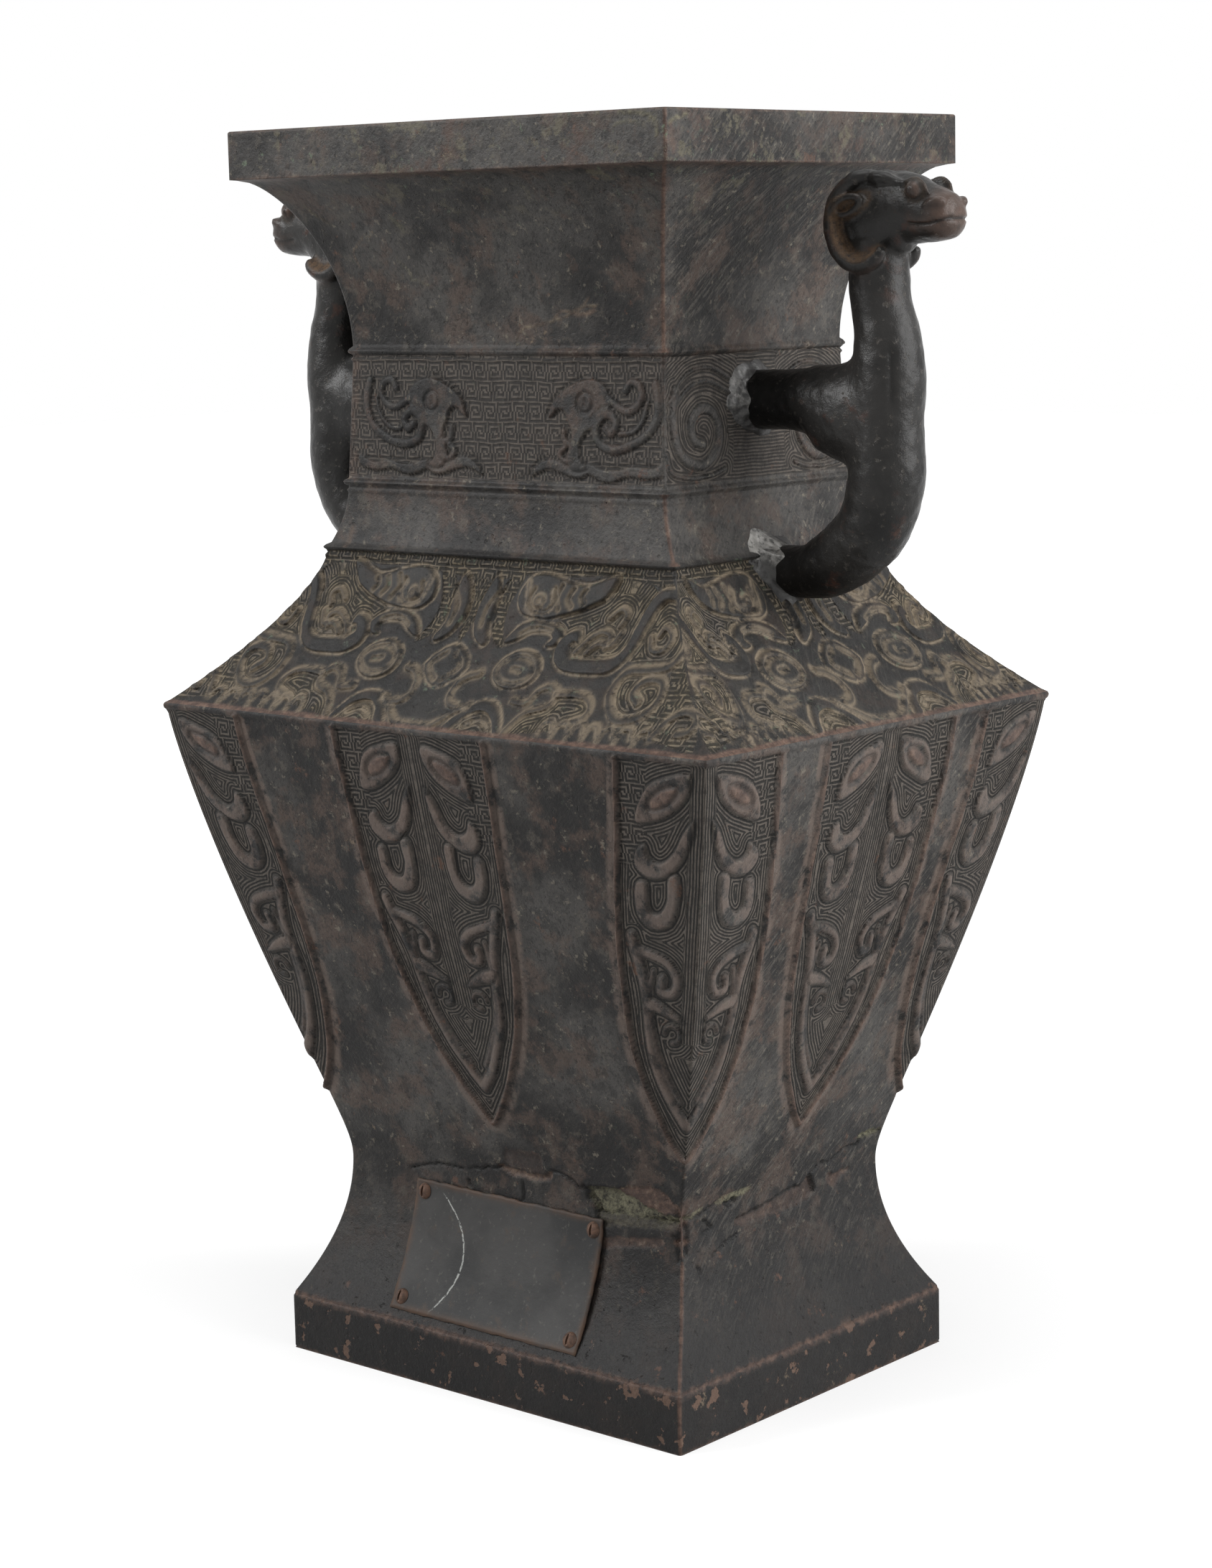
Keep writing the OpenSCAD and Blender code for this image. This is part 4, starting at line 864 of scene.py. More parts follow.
def horn_path(side):
    """An elliptic curl from crown round the nape to under the jaw, which leaves the middle plane
    by a quarter sine; it swells and then tapers to a round tip."""
    t = np.linspace(0, 1, 15)
    angle = np.radians(HORN_TURN[0] + (HORN_TURN[1] - HORN_TURN[0]) * t)
    shrink = 1 - 0.1 * t
    y = 3.2 + 7.2 * np.sin(np.pi / 2 * np.minimum(1, 2.2 * t))
    r = np.interp(t, [0, 0.15, 0.6, 0.85, 0.97, 1], [1.8, 2.9, 3.1, 3.1, 2.7, 1.5])
    return np.column_stack([HORN_MIDDLE[0] + HORN_CURL[0] * shrink * np.cos(angle), side * y,
                            HORN_MIDDLE[1] + HORN_CURL[1] * shrink * np.sin(angle), r, r * 1.05])


def chain(points, side, n=5, rings=16):
    """A tube through [x, y, z, radius] on one side of the head."""
    p = np.asarray(points, float)
    return tube(np.column_stack([p[:, 0], side * p[:, 1], p[:, 2], p[:, 3], p[:, 3]]), n, rings)


def handle_shells():
    """The tubes of the loop, the branch and the head, and on each side of the head a horn, an eye, a
    brow, a nostril, and an ear that is a chain round an ellipse with a ball in it."""
    shells = [tube(flat_path(LOOP), 8), tube(flat_path(BRANCH), 8), tube(flat_path(HEAD), 6)]
    for side in (-1, 1):
        shells.append(tube(horn_path(side), 5, 20))
        shells.append(ball(EYE[0], side * EYE[1], EYE[2], 3.3, 3.0, 3.2, 18, 28))
        shells.append(chain(BROW, side))
        shells.append(chain(NOSTRIL, side))
        around = oval(0, 0, *EAR_RADII, 12)
        around = np.vstack([around, around[:2]])
        shells.append(chain(np.column_stack([EAR[0] + around[:, 0], 11.4 - 0.10 * around[:, 0],
                                             EAR[1] + around[:, 1] + EAR_SLOPE * around[:, 0],
                                             np.full(14, 1.4)]), side, 3, 12))
        shells.append(ball(EAR[0], side * 9.6, EAR[1], 4.8, 1.5, 2.5, 14, 20))
    return shells


def mouth_height(x):
    """Height of the slit of the mouth: level from its corner, dipping, then up to the muzzle's tip."""
    return np.interp(x, [72, 76, 81, 85, 88.5], [60.9, 60.3, 60.3, 61.2, 62.3])


def merged(shells, name):
    """One piece of several closed tubes."""
    points, quads, start = [], [], 0
    for shell in shells:
        points.append(shell.reshape(-1, 3))
        quads.append(grid_quads(shell.shape[0], shell.shape[1], True, start))
        start += shell.shape[0] * shell.shape[1]
    return put_mesh(name, np.concatenate(points), np.concatenate(quads))


def read_vectors(source, what):
    """The points or the normals of a mesh as an array."""
    out = np.empty(len(source) * 3)
    source.foreach_get(what, out)
    return out.reshape(-1, 3)


def eased(mesh, p, weight, rounds):
    """Each point moves half way to the mean of its neighbours, times its weight, in each round."""
    ends = np.empty(len(mesh.edges) * 2, np.int32)
    mesh.edges.foreach_get("vertices", ends)
    a, b = ends.reshape(-1, 2).T
    count = np.bincount(ends, minlength=len(p))[:, None]
    for _ in range(rounds):
        total = np.stack([np.bincount(a, p[b, i], len(p)) + np.bincount(b, p[a, i], len(p)) for i in range(3)], 1)
        p = p + 0.5 * weight[:, None] * (total / count - p)
    return p


def remeshed(name, voxel):
    """The handle's shells, joined by an even remesh and smoothed."""
    local = merged(handle_shells(), name + "_shells")
    joined = local.modifiers.new("joined", "REMESH")
    joined.mode = "VOXEL"
    joined.voxel_size = voxel * MM
    joined.use_smooth_shade = True
    smooth = local.modifiers.new("smooth", "SMOOTH")
    smooth.factor, smooth.iterations = 0.5, 4
    bpy.context.view_layer.update()
    mesh = bpy.data.meshes.new_from_object(local.evaluated_get(bpy.context.evaluated_depsgraph_get()))
    bpy.data.objects.remove(local)
    mesh.name = name
    return mesh


def make_handle(name, side):
    """Each point of the joined shells is moved along its normal: in at the slit of the mouth, the
    ears, the pupils, the horns' hollows and a dent, which are exponential bells and soft steps."""
    voxel = HANDLE_VOXEL[side]
    mesh = remeshed(name, voxel)
    p = read_vectors(mesh.vertices, "co") / MM
    normal = read_vectors(mesh.vertex_normals, "vector")
    fork = soft(-np.hypot((p[:, 0] - 43) / 17, (p[:, 2] + 4) / 27), -1.0, -0.6)
    p = eased(mesh, p, fork, int(80 / voxel ** 2))
    x, y, z = p.T
    flank = np.abs(y)
    muzzle = soft(x, 72.4, 73.8)
    slit = bell(z - mouth_height(x), 0.55) * muzzle
    curl = np.hypot((x - HORN_MIDDLE[0]) / HORN_CURL[0], (z - HORN_MIDDLE[1]) / HORN_CURL[1])
    behind = np.degrees(np.arctan2(z - HORN_MIDDLE[1], x - HORN_MIDDLE[0])) % 360
    hollow = soft(curl, 0.55, 0.72) * soft(-curl, -0.92, -0.80) * soft(flank, 4, 6)
    hollow *= soft(behind, 130, 175) * soft(-behind, -318, -300)
    ear = np.hypot((x - EAR[0]) / EAR_RADII[0], (z - EAR[1] - EAR_SLOPE * (x - EAR[0])) / EAR_RADII[1])
    in_ear = soft(-ear, -0.85, -0.45) * soft(flank, 8, 9.2)
    round_ear = bell(ear - 1.55, 0.25) * soft(flank, 5, 7)
    eye = np.hypot(x - EYE[0], z - EYE[2])
    on_eye = soft(-eye, -3.2, -2.5) * soft(flank, 8.2, 9.2)
    round_eye = bell(eye - 4.0, 0.7) * soft(flank, 5.5, 7)
    pupil = bell(x - EYE[0] + 0.2, 0.33) * on_eye
    # The dent faces the camera
    level = (x - 58) * np.cos(np.radians(CAMERA_AZIMUTH)) + y * np.sin(np.radians(CAMERA_AZIMUTH))
    dent = bell(level, 1.4) * soft(z, -4, 3) * soft(-z, -22, -15) * (y < 0) * (side > 0)
    wobble = 0.12 * waves(x + y, z - y, 71, 14) + 0.06 * waves(x - y, z + y, 72, 5)
    p += normal * (wobble - 1.1 * slit - 0.5 * in_ear - 0.45 * pupil - 0.35 * hollow - 0.6 * dent)[:, None]
    dirt = np.clip(0.9 * hollow + 0.8 * in_ear + 0.5 * round_ear + 0.35 * round_eye, 0, 1)
    tip = soft(x, 78, 84)
    rub = 0.4 * soft(curl, 0.98, 1.08) * soft(flank, 9.5, 11.5) * soft(z, 40, 44)
    lips = bell(z - mouth_height(x), 2.4) * muzzle
    worn = np.clip(0.7 * tip + 0.6 * lips + 0.9 * on_eye + rub, 0, 1)
    # Painted shade: the mouth's slit, the pupils' grooves, the creases round the eyes and the dent are marked to be
    # darkened almost to black
    dark = np.clip(slit + 0.8 * pupil + 0.45 * round_eye + 0.45 * dent, 0, 1)
    p += [NECK_X, 0, UPPER_ROOT_Z]
    p[:, :2] *= side
    mesh.vertices.foreach_set("co", (p * MM).ravel())
    mesh.polygons.foreach_set("use_smooth", np.ones(len(mesh.polygons), bool))
    mesh.update()
    return add_piece(name, mesh, {"dirt": dirt, "worn": worn, "dark": dark})


def make_solder(name, side, z0, r0, spread, climb, toward, seed, pale_and_glint_share):
    """A splash of solder: rings round the root whose height above the wall falls from the tube out,
    and whose reach is uneven round the turn and longest one way; that way it is paler, as pale metal with painted
    highlights."""
    rings, rows = 120, 20
    t = (2 * np.pi * np.arange(rings) / rings)[None, :]
    s = np.linspace(0, 1, rows)[:, None]
    away = np.abs((t - toward + np.pi) % (2 * np.pi) - np.pi)
    long_way = bell(away, 0.8)
    ragged = 0.8 + 1.3 * long_way + 0.4 * waves(8 * np.cos(t), 8 * np.sin(t), seed, 12)
    ragged = ragged + 0.2 * waves(9 * np.cos(t), 9 * np.sin(t), seed + 1, 6)
    reach = spread * np.clip(ragged, 0.35, 2.4)
    r = r0 - 0.3 + reach * s
    y, z = r * np.cos(t), z0 + r * np.sin(t)
    lumps = 1 + 0.35 * waves(y, z, seed + 2, 8)
    rise = climb * (0.5 + long_way) * (1 - s) ** 2.6 + 0.9 * (1 - s ** 3)
    rise = rise * np.clip(lumps, 0.2, 1.8) - 0.9 * s ** 3
    rise = np.where(s > 0.98, -0.6, rise)
    x = half(z, 0) + ridges(z) * soft(-rise, -0.5, 0.5) + rise
    points = np.stack([x * side, y * side, z], -1)
    # Painted highlight: the pale share, partly pale metal and partly highlights painted into the colour, is largest
    # where the splash is longest
    pale_and_painted_glint = pale_and_glint_share * (0.2 + 0.8 * long_way) * np.ones_like(s)
    return put_mesh(name, points.reshape(-1, 3), grid_quads(rows, rings, True)[:, ::-1], {"pale_and_painted_glint": pale_and_painted_glint})


# Name plate: levels of its edges, half width, thickness, bow and how far the screws are from its edges
PLATE_Z = [26.0, 73.0]
PLATE_HALF, PLATE_T, PLATE_BOW, SCREW_INSET = 47.3, 0.9, 1.4, 4.4


def make_plate():
    """A thin sheet over the front of the foot: the foot's outline plus a sine bow, with small dents
    near its screws."""
    u, z = np.meshgrid(np.linspace(-1, 1, 87) * PLATE_HALF, levels(*PLATE_Z, 1.1))
    back = half(z, 1) + PLATE_BOW * np.sin(np.pi * share(z, *PLATE_Z))
    dents = 0.0 * u
    for h in (PLATE_Z[0] + SCREW_INSET, PLATE_Z[1] - SCREW_INSET):
        dents += 0.25 * bell(np.hypot(PLATE_HALF - SCREW_INSET - np.abs(u), z - h), 5)
    edge = np.minimum(PLATE_HALF - np.abs(u), np.minimum(z - PLATE_Z[0], PLATE_Z[1] - z))
    lift = np.maximum(0.15 * waves(u, z, 81, 30) - dents, -0.25)
    x = u + 0.25 * waves(z, u, 82, 9) * soft(-edge, -1.5, 0)
    up = z + 0.25 * waves(u, z, 83, 9) * soft(-edge, -1.5, 0)
    points = np.stack([x, -(back + PLATE_T + lift), up], -1)
    piece = put_mesh("name_plate_sheet", points.reshape(-1, 3), grid_quads(*u.shape),
                     {"edge": soft(-edge, -3.0, 0)})
    thick = piece.modifiers.new("thick", "SOLIDIFY")
    thick.thickness = PLATE_T * 0.9 * MM
    thick.offset = -1
    return piece


class Wire:
    """An output socket with arithmetic."""

    def __init__(self, nodes, socket):
        self.nodes, self.socket = nodes, socket

    def math(self, operation, other=None, swap=False):
        """A maths node on this wire and another wire or number; swap puts the other one first."""
        values = [self] if other is None else [self, other]
        values = values[::-1] if swap else values
        return self.nodes.wire("ShaderNodeMath", {"operation": operation}, dict(enumerate(values)))

    def __add__(self, v): return self.math("ADD", v)
    def __radd__(self, v): return self.math("ADD", v)
    def __sub__(self, v): return self.math("SUBTRACT", v)
    def __rsub__(self, v): return self.math("SUBTRACT", v, swap=True)
    def __mul__(self, v): return self.math("MULTIPLY", v)
    def __rmul__(self, v): return self.math("MULTIPLY", v)
    def __truediv__(self, v): return self.math("DIVIDE", v)
    def __pow__(self, v): return self.math("POWER", v)
    def __gt__(self, v): return self.math("GREATER_THAN", v)
    def abs(self): return self.math("ABSOLUTE")
    def floor(self): return self.math("FLOOR")
    def part(self): return self.math("FRACT")
    def sine(self): return self.math("SINE")
    def high(self, v): return self.math("MAXIMUM", v)

    def ramp(self, lo, hi):
        """0 at lo, 1 at hi, an S curve between; lo may be the higher one."""
        if lo > hi:
            return 1 - self.ramp(hi, lo)
        return self.nodes.wire("ShaderNodeMapRange", {"interpolation_type": "SMOOTHSTEP"},
                               {"Value": self, "From Min": lo, "From Max": hi}, "Result")


class Nodes:
    """A node tree, in which one method adds every node."""

    def __init__(self, tree):
        self.tree = tree

    def node(self, kind, settings=None, inputs=None):
        """A node of a type, with its settings, and with wires or values for its inputs."""
        node = self.tree.nodes.new(kind)
        for key, value in (settings or {}).items():
            setattr(node, key, value)
        for key, value in (inputs or {}).items():
            self.feed(node.inputs[key], value)
        return node

    def feed(self, socket, value):
        """A wire is linked to the socket, and a value is set on it; a colour gets its fourth value."""
        if isinstance(value, Wire):
            self.tree.links.new(value.socket, socket)
        elif np.ndim(value) == 1 and len(value) == 3 and len(socket.default_value) == 4:
            socket.default_value = (*value, 1)
        else:
            socket.default_value = value

    def wire(self, kind, settings=None, inputs=None, out=0):
        """One output of a new node."""
        return Wire(self, self.node(kind, settings, inputs).outputs[out])

    def apart(self, vector):
        """A vector's x, y and z."""
        return [Wire(self, out) for out in self.node("ShaderNodeSeparateXYZ", {}, {0: vector}).outputs]


class Shader(Nodes):
    """A material: place is the object's own coordinates in metres, and x, y and z are its parts."""

    def __init__(self, name):
        self.material = bpy.data.materials.new(name)
        self.material.use_nodes = True
        super().__init__(self.material.node_tree)
        self.surface = self.tree.nodes["Principled BSDF"]
        self.place = self.wire("ShaderNodeTexCoord", out="Object")
        self.x, self.y, self.z = self.apart(self.place)

    def mask(self, name):
        """A point mask of the piece."""
        return self.wire("ShaderNodeAttribute", {"attribute_name": name}, {}, "Fac")

    def noise(self, size, detail=3, rough=0.55, offset=0.0, at=None):
        """Noise whose lumps are about size mm wide, around 0.5."""
        moved = self.wire("ShaderNodeMapping", {}, {"Vector": at or self.place, "Location": (offset,) * 3})
        return self.wire("ShaderNodeTexNoise", {}, {
            "Vector": moved, "Scale": 1 / (size * MM), "Detail": detail, "Roughness": rough}, "Fac")

    def mix(self, share_, a, b):
        """Colour a, or b where the share is 1."""
        return self.wire("ShaderNodeMix", {"data_type": "RGBA"}, {0: share_, 6: a, 7: b}, 2)

    def bump(self, height, strength):
        """Height in mm."""
        normal = self.wire("ShaderNodeBump", {}, {"Height": height * MM, "Distance": 1.0, "Strength": strength})
        self.feed(self.surface.inputs["Normal"], normal)

    def finish(self, colour, roughness, metallic, specular):
        """The surface's inputs are fed and the material is done."""
        for key, value in (("Base Color", colour), ("Roughness", roughness), ("Metallic", metallic),
                           ("Specular IOR Level", specular)):
            self.feed(self.surface.inputs[key], value)
        return self.material


def bronze():
    """Patinated bronze: smooth dark forms, a ground of fine lines that is tan on the shoulder and
    dull elsewhere, worn brown edges, green specks, crust and raw metal in the flaked patches, and
    painted shade in the trenches off the shoulder and towards the floor."""
    s = Shader("bronze")
    ground, fret, rim, wear, run, crust, raw = (s.mask(k) for k in MASK_NAMES)
    u, v, _ = s.apart(s.wire("ShaderNodeUVMap", {"uv_map": "face"}))
    cloud, patch, blot = s.noise(60, 4, 0.6), s.noise(20, 5, 0.65, 3.1), s.noise(8, 5, 0.7, 1.7)
    speck, grain, fine = s.noise(3.4, 5, 0.7, 5.7), s.noise(1.3, 4, 0.65), s.noise(0.6, 2)
    drift = s.noise(14, 2, 0.5, 8.3)
    # Where on the vase: the shoulder, the neck, the narrow faces and the mouth
    shoulder = s.z.ramp(0.2552, 0.2572) * s.z.ramp(0.3162, 0.3142)
    neck = s.z.ramp(0.325, 0.33)
    side = (s.x.abs() * 0.7 - s.y.abs()).ramp(-0.003, 0.003)
    high = s.z.ramp(0.425, 0.456)

    # Key-fret: square spirals, each a distance from its cell's middle, shifted half a line below it;
    # elsewhere hatching, which follows the forms
    turns, hatch_pitch = 4.4, 1.25
    cell = 7.2 * MM + neck * (0.2 * MM)
    row = (v / cell).floor()
    across = (u / cell + row * 0.37 + (drift - 0.5) * 0.35).part() - 0.5
    up = (v / cell + (drift - 0.5) * 0.3).part() - 0.5
    reach = (across + (up > 0) * (0.5 / turns)).abs().high(up.abs())
    key_line = (reach * (turns * 2 * np.pi)).sine()
    hatch = ((run + (drift - 0.5) * 1.2) * (2 * np.pi / hatch_pitch)).sine()
    line = (key_line * fret + hatch * (1 - fret)).ramp(-0.45, 0.5)
    line = (line * 0.75 + grain * 0.5 - 0.12).ramp(0.05, 0.95)

    # Smooth metal: broad and small clouds, slanting brush streaks, specks, brown leaf forms, dark shoulder forms
    # and painted shade towards the floor
    slant = s.wire("ShaderNodeCombineXYZ", {}, {0: (u + v) * 0.6, 1: (u - v) * 4.0, 2: cloud * 0.01})
    streak = s.noise(6, 4, 0.6, at=slant)
    broad = s.noise(95, 3, 0.5, 61.0)
    dark = s.mix((cloud * 0.7 + broad * 0.3).ramp(0.43, 0.57), (0.0110, 0.0102, 0.0100), (0.050, 0.047, 0.044))
    dark = s.mix(patch.ramp(0.49, 0.61) * 0.7, dark, (0.064, 0.045, 0.036))
    dark = s.mix(blot.ramp(0.55, 0.66) * 0.5, dark, (0.076, 0.067, 0.056))
    dark = s.mix(blot.ramp(0.47, 0.38) * 0.55, dark, (0.010, 0.010, 0.010))
    dark = s.mix(streak.ramp(0.50, 0.66) * (side * 0.4 + 0.1), dark, (0.088, 0.080, 0.070))
    dark = s.mix(speck.ramp(0.59, 0.68) * 0.6, dark, (0.150, 0.133, 0.106))
    dark = s.mix(speck.ramp(0.44, 0.36) * 0.45, dark, (0.007, 0.007, 0.007))
    dark = s.mix(grain.ramp(0.48, 0.38) * 0.45, dark, (0.007, 0.007, 0.007))
    leaf_form = (1 - ground) * run.ramp(5.0, 2.5) * s.z.ramp(0.2555, 0.2525) * s.z.ramp(0.095, 0.105)
    dark = s.mix(leaf_form * blot.ramp(0.38, 0.56) * 0.65, dark, (0.115, 0.088, 0.074))
    dark = s.mix(shoulder * 0.68, dark, (0.011, 0.0105, 0.010))
    # Painted shade: darker towards the floor, from 10 cm down and fully on the plinth, as if less light reached it
    dark = s.mix(s.z.ramp(0.10, 0.02) * 0.9, dark, (0.0065, 0.006, 0.006))
    # Ground: dull lines with dark gaps, and on the shoulder tan ones in patches; rims: painted shade off the
    # shoulder, tan dust on it
    gap = s.mix(neck, (0.005, 0.005, 0.005), (0.020, 0.018, 0.017))
    dull = s.mix(line, gap, (0.080, 0.070, 0.062))
    dull = s.mix(speck.ramp(0.54, 0.40) * 0.45, dull, (0.012, 0.011, 0.010))
    tan = s.mix(line, (0.024, 0.021, 0.016), (0.145, 0.119, 0.083))
    tan = s.mix(speck.ramp(0.56, 0.44) * 0.75, tan, (0.020, 0.018, 0.014))
    tanned = shoulder * (patch * 0.6 + blot * 0.6).ramp(0.42, 0.70)
    colour = s.mix(ground * 0.9, dark, s.mix(tanned * 0.9 + 0.1, dull, tan))
    dusty = rim * (speck * 0.6 + blot * 0.9).ramp(0.58, 0.84) * shoulder * 0.85
    # Painted shade: off the shoulder, the rims of the sunk lines round forms, bars, cuts and cracks are darkened
    # almost to black, less on the neck; on the shoulder the rims get tan dust instead
    colour = s.mix(rim * (1 - shoulder) * (0.75 - neck * 0.35), colour, (0.006, 0.006, 0.006))
    colour = s.mix(dusty, colour, (0.190, 0.152, 0.108))
    # Wear, stains, verdigris, rust, crust, chips of the plinth and pale flecks
    copper = s.mix(speck.ramp(0.4, 0.65), (0.058, 0.036, 0.029), (0.135, 0.085, 0.064))
    bared = (wear * (blot * 0.9 + speck * 0.6 + wear * 0.3).ramp(0.66, 0.92)).high(raw * 0.9)
    colour = s.mix(bared * 0.8, colour, copper)
    stain = s.noise(11, 6, 0.75, 12.4)
    colour = s.mix(high * stain.ramp(0.55, 0.64) * 0.7, colour, (0.095, 0.085, 0.060))
    colour = s.mix(high * s.noise(18, 5, 0.7, 31.0).ramp(0.57, 0.68) * 0.5, colour, (0.066, 0.040, 0.031))
    green_here = high * 0.9 + shoulder * 0.55 + 0.12
    green = s.noise(5, 6, 0.75, 15.9).ramp(0.61, 0.68) * green_here
    colour = s.mix(green * 0.8, colour, s.mix(grain, (0.060, 0.080, 0.055), (0.130, 0.155, 0.112)))
    rust = s.noise(10, 6, 0.75, 44.0).ramp(0.62, 0.70) * (1 - shoulder)
    colour = s.mix(rust * 0.6, colour, (0.092, 0.050, 0.034))
    colour = s.mix(crust * (speck * 0.8 + grain * 0.5).ramp(0.45, 0.80) * 0.8, colour, (0.150, 0.142, 0.096))
    chip = s.noise(8, 4, 0.6, 77.0).ramp(0.60, 0.63) * s.z.ramp(0.026, 0.019)
    colour = s.mix(chip * 0.8, colour, s.mix(grain, (0.062, 0.034, 0.024), (0.150, 0.098, 0.072)))
    fleck = s.noise(16, 6, 0.8, 83.0).ramp(0.64, 0.69) * (1 - shoulder) * (1 - ground)
    colour = s.mix(fleck * 0.6, colour, (0.150, 0.115, 0.080))

    pits = s.noise(2.6, 3, 0.6, 4.4).ramp(0.64, 0.74)
    height = fine * 0.08 + grain * 0.20 + speck * 0.30 + blot * 0.50 + cloud * 0.3
    height = height - chip * 0.25 + streak * (1 - ground) * (side * 0.2 + 0.06)
    height = height - (1 - line) * ground * (0.34 - neck * 0.12) - pits * 0.25 + crust * grain * 0.5
    s.bump(height, 1.0)
    rough = 0.36 + grain * 0.22 + ground * 0.15 + tanned * 0.1 + crust * 0.2
    return s.finish(colour, rough, 0.0, 0.14)


def dark_bronze():
    """Near-black satin bronze of the handles, with brown dirt in the curls, a worn brown muzzle, and painted shade
    in the mouth's slit, the pupils, round the eyes and in the dent.
    """
    s = Shader("dark_bronze")
    dirt, worn, painted_recess_shade = s.mask("dirt"), s.mask("worn"), s.mask("dark")
    cloud, patch, pit = s.noise(30, 4, 0.6), s.noise(12, 5, 0.65, 3.3), s.noise(2.4, 4, 0.65, 6.1)
    grain, fine = s.noise(1.1, 3, 0.6), s.noise(0.5, 2)
    colour = s.mix(cloud.ramp(0.38, 0.62), (0.008, 0.0078, 0.0075), (0.020, 0.019, 0.018))
    red = patch.ramp(0.56, 0.70) * s.noise(40, 2, 0.5, 9.2).ramp(0.45, 0.6)
    colour = s.mix(red * 0.75, colour, (0.050, 0.024, 0.017))
    colour = s.mix(pit.ramp(0.57, 0.68) * 0.45, colour, (0.062, 0.055, 0.047))
    colour = s.mix(worn * (0.35 + patch).ramp(0.6, 1.0) * 0.85, colour, (0.078, 0.050, 0.039))
    colour = s.mix(dirt * (pit + grain * 0.6).ramp(0.45, 0.95), colour, (0.085, 0.053, 0.031))
    # Painted shade in the mouth's slit, the pupils, the creases round the eyes and the dent
    colour = s.mix(painted_recess_shade * 0.9, colour, (0.003, 0.003, 0.003))
    height = fine * 0.03 + grain * 0.10 + pit * 0.22 - pit.ramp(0.60, 0.72) * 0.14
    height = height + patch * 0.2 + dirt * grain * 0.4
    s.bump(height, 0.9)
    return s.finish(colour, 0.26 + grain * 0.14 + dirt * 0.35, 0.0, 0.16)


def solder_metal():
    """Dark grey solder, paler where the splash is longest: pale silvery metal with painted highlights."""
    s = Shader("solder")
    pale_and_painted_glint = s.mask("pale_and_painted_glint")
    patch, speck, grain = s.noise(7, 4, 0.6), s.noise(2.6, 5, 0.65, 4.0), s.noise(0.8, 3)
    colour = s.mix(patch.ramp(0.4, 0.62), (0.040, 0.039, 0.037), (0.016, 0.015, 0.015))
    # Painted highlight: noise patches turn pale silver where the splash is longest, partly pale metal and partly
    # painted highlights
    pale_and_glint_here = pale_and_painted_glint * (patch * 0.6 + speck * 0.4 + pale_and_painted_glint * 0.3).ramp(0.62, 0.86)
    colour = s.mix(pale_and_glint_here, colour, (0.32, 0.31, 0.29))
    colour = s.mix(speck.ramp(0.50, 0.40) * 0.6, colour, (0.014, 0.013, 0.013))
    s.bump(patch * 0.6 + speck * 0.2 + grain * 0.03, 0.8)
    return s.finish(colour, 0.28 + speck * 0.15, 0.35, 0.4)


def plate_metal():
    """Dull grey sheet with brown edges and one long pale scratch that bows to the right."""
    s = Shader("plate")
    edge = s.mask("edge")
    cloud, patch, speck = s.noise(40, 4, 0.6), s.noise(9, 5, 0.65, 2.0), s.noise(2.2, 4, 0.65, 4.2)
    grain = s.noise(0.8, 3)
    colour = s.mix(cloud.ramp(0.38, 0.62), (0.022, 0.022, 0.022), (0.040, 0.039, 0.038))
    colour = s.mix(speck.ramp(0.58, 0.70) * 0.45, colour, (0.085, 0.080, 0.072))
    colour = s.mix(patch.ramp(0.58, 0.70) * 0.4, colour, (0.060, 0.042, 0.031))
    colour = s.mix(edge * (patch + 0.3).ramp(0.5, 0.9) * 0.8, colour, (0.072, 0.043, 0.028))
    bow = s.x * 1000 + 17.6 + ((s.z * 1000 - 46) / 22) ** 2 * 13.5 + (speck - 0.5) * 1.6
    scratch = bow.abs().ramp(0.55, 0.20) * s.z.ramp(0.027, 0.031) * s.z.ramp(0.070, 0.067)
    scratch = scratch * (speck + grain).ramp(0.82, 1.05)
    colour = s.mix(scratch * 0.75, colour, (0.38, 0.39, 0.37))
    s.bump(cloud * 0.5 + patch * 0.2 + speck * 0.05 + grain * 0.03, 0.9)
    return s.finish(colour, 0.45 + grain * 0.2, 0.0, 0.14)


def screw_rust():
    """Mottled brown rust."""
    s = Shader("screws")
    patch, grain = s.noise(2.4, 4, 0.6), s.noise(0.5, 2)
    colour = s.mix(patch.ramp(0.35, 0.65), (0.040, 0.024, 0.017), (0.095, 0.052, 0.034))
    s.bump(patch * 0.25 + grain * 0.06, 0.9)
    return s.finish(colour, 0.55 + grain * 0.2, 0.3, 0.35)


def whiteness(nodes):
    """1 for rays seen by the camera, in reflections and through glass, else 0."""
    path = nodes.node("ShaderNodeLightPath")
    camera, glossy, through = (Wire(nodes, path.outputs["Is %s Ray" % key])
                               for key in ("Camera", "Glossy", "Transmission"))
    return camera.high(glossy).high(through)


def studio_floor():
    """White paper, whose own whiteness shows only to the camera and in reflections."""
    s = Shader("floor")
    colour = s.mix(s.noise(400, 2).ramp(0.3, 0.7), (0.39, 0.39, 0.39), (0.41, 0.41, 0.41))
    far = (s.x * s.x + s.y * s.y).ramp(0.3, 2.5)
    glow = s.mix(whiteness(s), (0, 0, 0), s.mix(far, (0.55, 0.55, 0.55), (1.0, 1.0, 1.0)))
    s.feed(s.surface.inputs["Emission Color"], glow)
    s.feed(s.surface.inputs["Emission Strength"], 1)
    return s.finish(colour, 0.9, 0.0, 0.1)


def put_on(pieces, material, node):
    """The pieces get the material, ride on the one body and replace the node."""
    for piece in pieces:
        piece.data.materials.clear()
        piece.data.materials.append(material)
        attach(piece, "root")
        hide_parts(node)


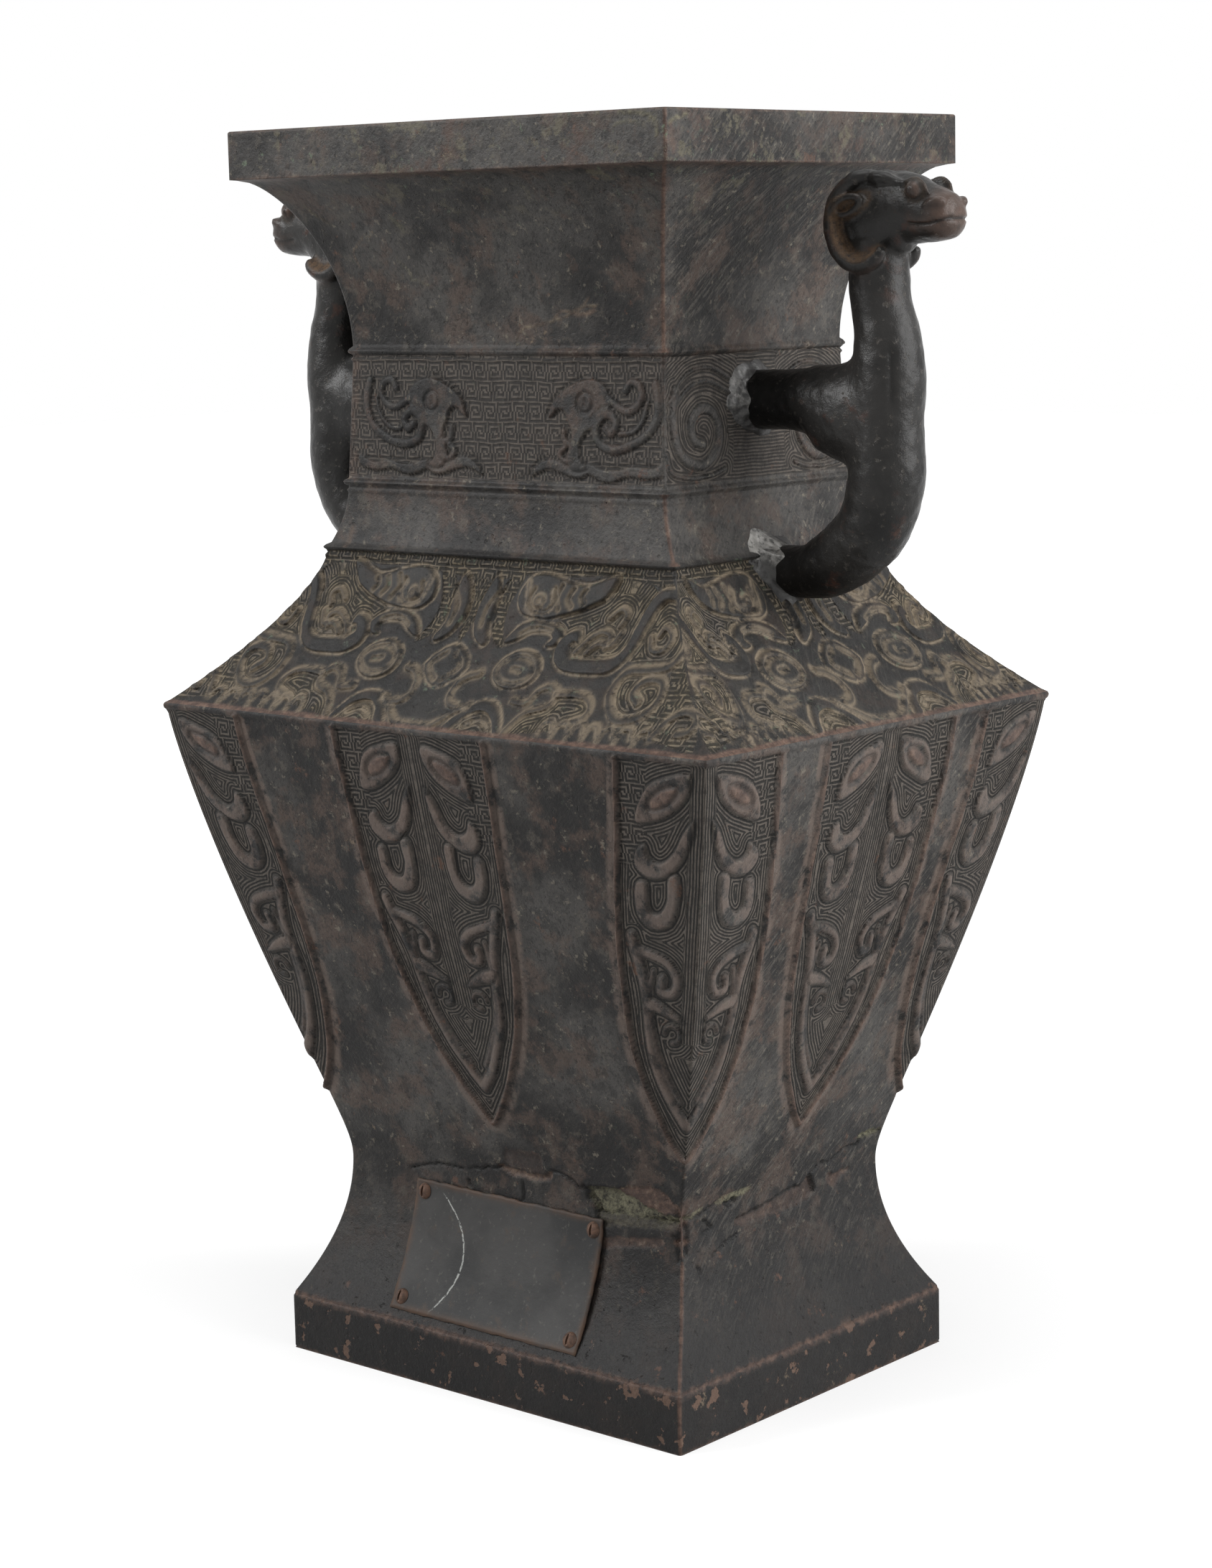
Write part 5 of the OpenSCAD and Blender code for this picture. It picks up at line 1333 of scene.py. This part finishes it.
def area_light(name, at, aim, size, power):
    """A square light that looks from one point at another."""
    data = bpy.data.lights.new(name, "AREA")
    data.shape = "SQUARE"
    data.size = size
    data.energy = power
    light = bpy.data.objects.new(name, data)
    way = np.array(at, float) - np.array(aim, float)
    way /= np.linalg.norm(way)
    side = np.cross([0, 0, 1], way) if abs(way[2]) < 0.99 else np.array([1.0, 0, 0])
    side /= np.linalg.norm(side)
    light.matrix_world = axes_matrix(side, np.cross(way, side), way, at)
    bpy.context.scene.collection.objects.link(light)


def white_surroundings(ambient):
    """White to the camera and in reflections; a weaker white lights the object all round."""
    world = bpy.data.worlds.new("surroundings")
    bpy.context.scene.world = world
    world.use_nodes = True
    nodes = Nodes(world.node_tree)
    background = world.node_tree.nodes["Background"]
    nodes.feed(background.inputs["Color"], (1, 1, 1))
    nodes.feed(background.inputs["Strength"], whiteness(nodes) * (1 - ambient) + ambient)


def make_floor():
    """A level square grid, 12 m wide."""
    count = 9
    x = np.linspace(-6000, 6000, count)
    u, v = np.meshgrid(x, x)
    piece = put_mesh("floor", np.stack([u, v, 0 * u], -1).reshape(-1, 3), grid_quads(count, count))
    piece.data.materials.append(studio_floor())


# Studio
bpy.context.scene.view_settings.view_transform = "Standard"
white_surroundings(0.25)
area_light("key_right", (1.65, 0.50, 0.90), (0, 0, 0.25), 1.5, 54)
area_light("front_left", (-1.10, -1.35, 1.20), (0, 0, 0.25), 0.8, 36)
area_light("overhead", (0.2, -0.4, 2.5), (0, 0, 0.2), 1.6, 32)
make_floor()

# Pieces
rim_levels = np.concatenate([[RIM_Z, RIM_Z + 0.25, RIM_Z + 0.6], levels(RIM_Z + 1.2, HEIGHT - 1.2, 1.0),
                             [HEIGHT - 0.7, HEIGHT - 0.35, HEIGHT - 0.1, HEIGHT]])
vase_pieces = [make(side) for make in (foot_panel, body_panel, shoulder_panel, neck_panel) for side in FACES]
for side in FACES:
    vase_pieces.append(plain_panel("lower_neck", side, levels(COLLAR_Z, BAND_LOW_Z, 0.8)))
    vase_pieces.append(plain_panel("upper_neck", side, levels(BAND_HIGH_Z, RIM_Z, 0.9)))
    vase_pieces.append(plain_panel("rim", side, rim_levels))
vase_pieces.append(lining())
put_on(vase_pieces, bronze(), "vase_body")

handle_metal, solder_look = dark_bronze(), solder_metal()
SIDES = (("right", 1), ("left", -1))
for word, side in SIDES:
    put_on([make_handle("beast_handle_" + word, side)], handle_metal, "handle_" + word)
for word, side in SIDES:
    for level, *splash in (("upper_", UPPER_ROOT_Z, UPPER_ROOT_R, 3.8, 2.2, 3.0, 90, 0.65),
                           ("lower_", LOWER_ROOT_Z, LOWER_ROOT_R, 4.4, 4.4, 2.3, 95, 1.0)):
        put_on([make_solder("solder_splash_" + level + word, side, *splash)], solder_look,
               level + "solder_" + word)

put_on([make_plate()], plate_metal(), "name_plate")
rust = screw_rust()
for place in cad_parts["plate_screws"].material_slots:
    place.material = rust
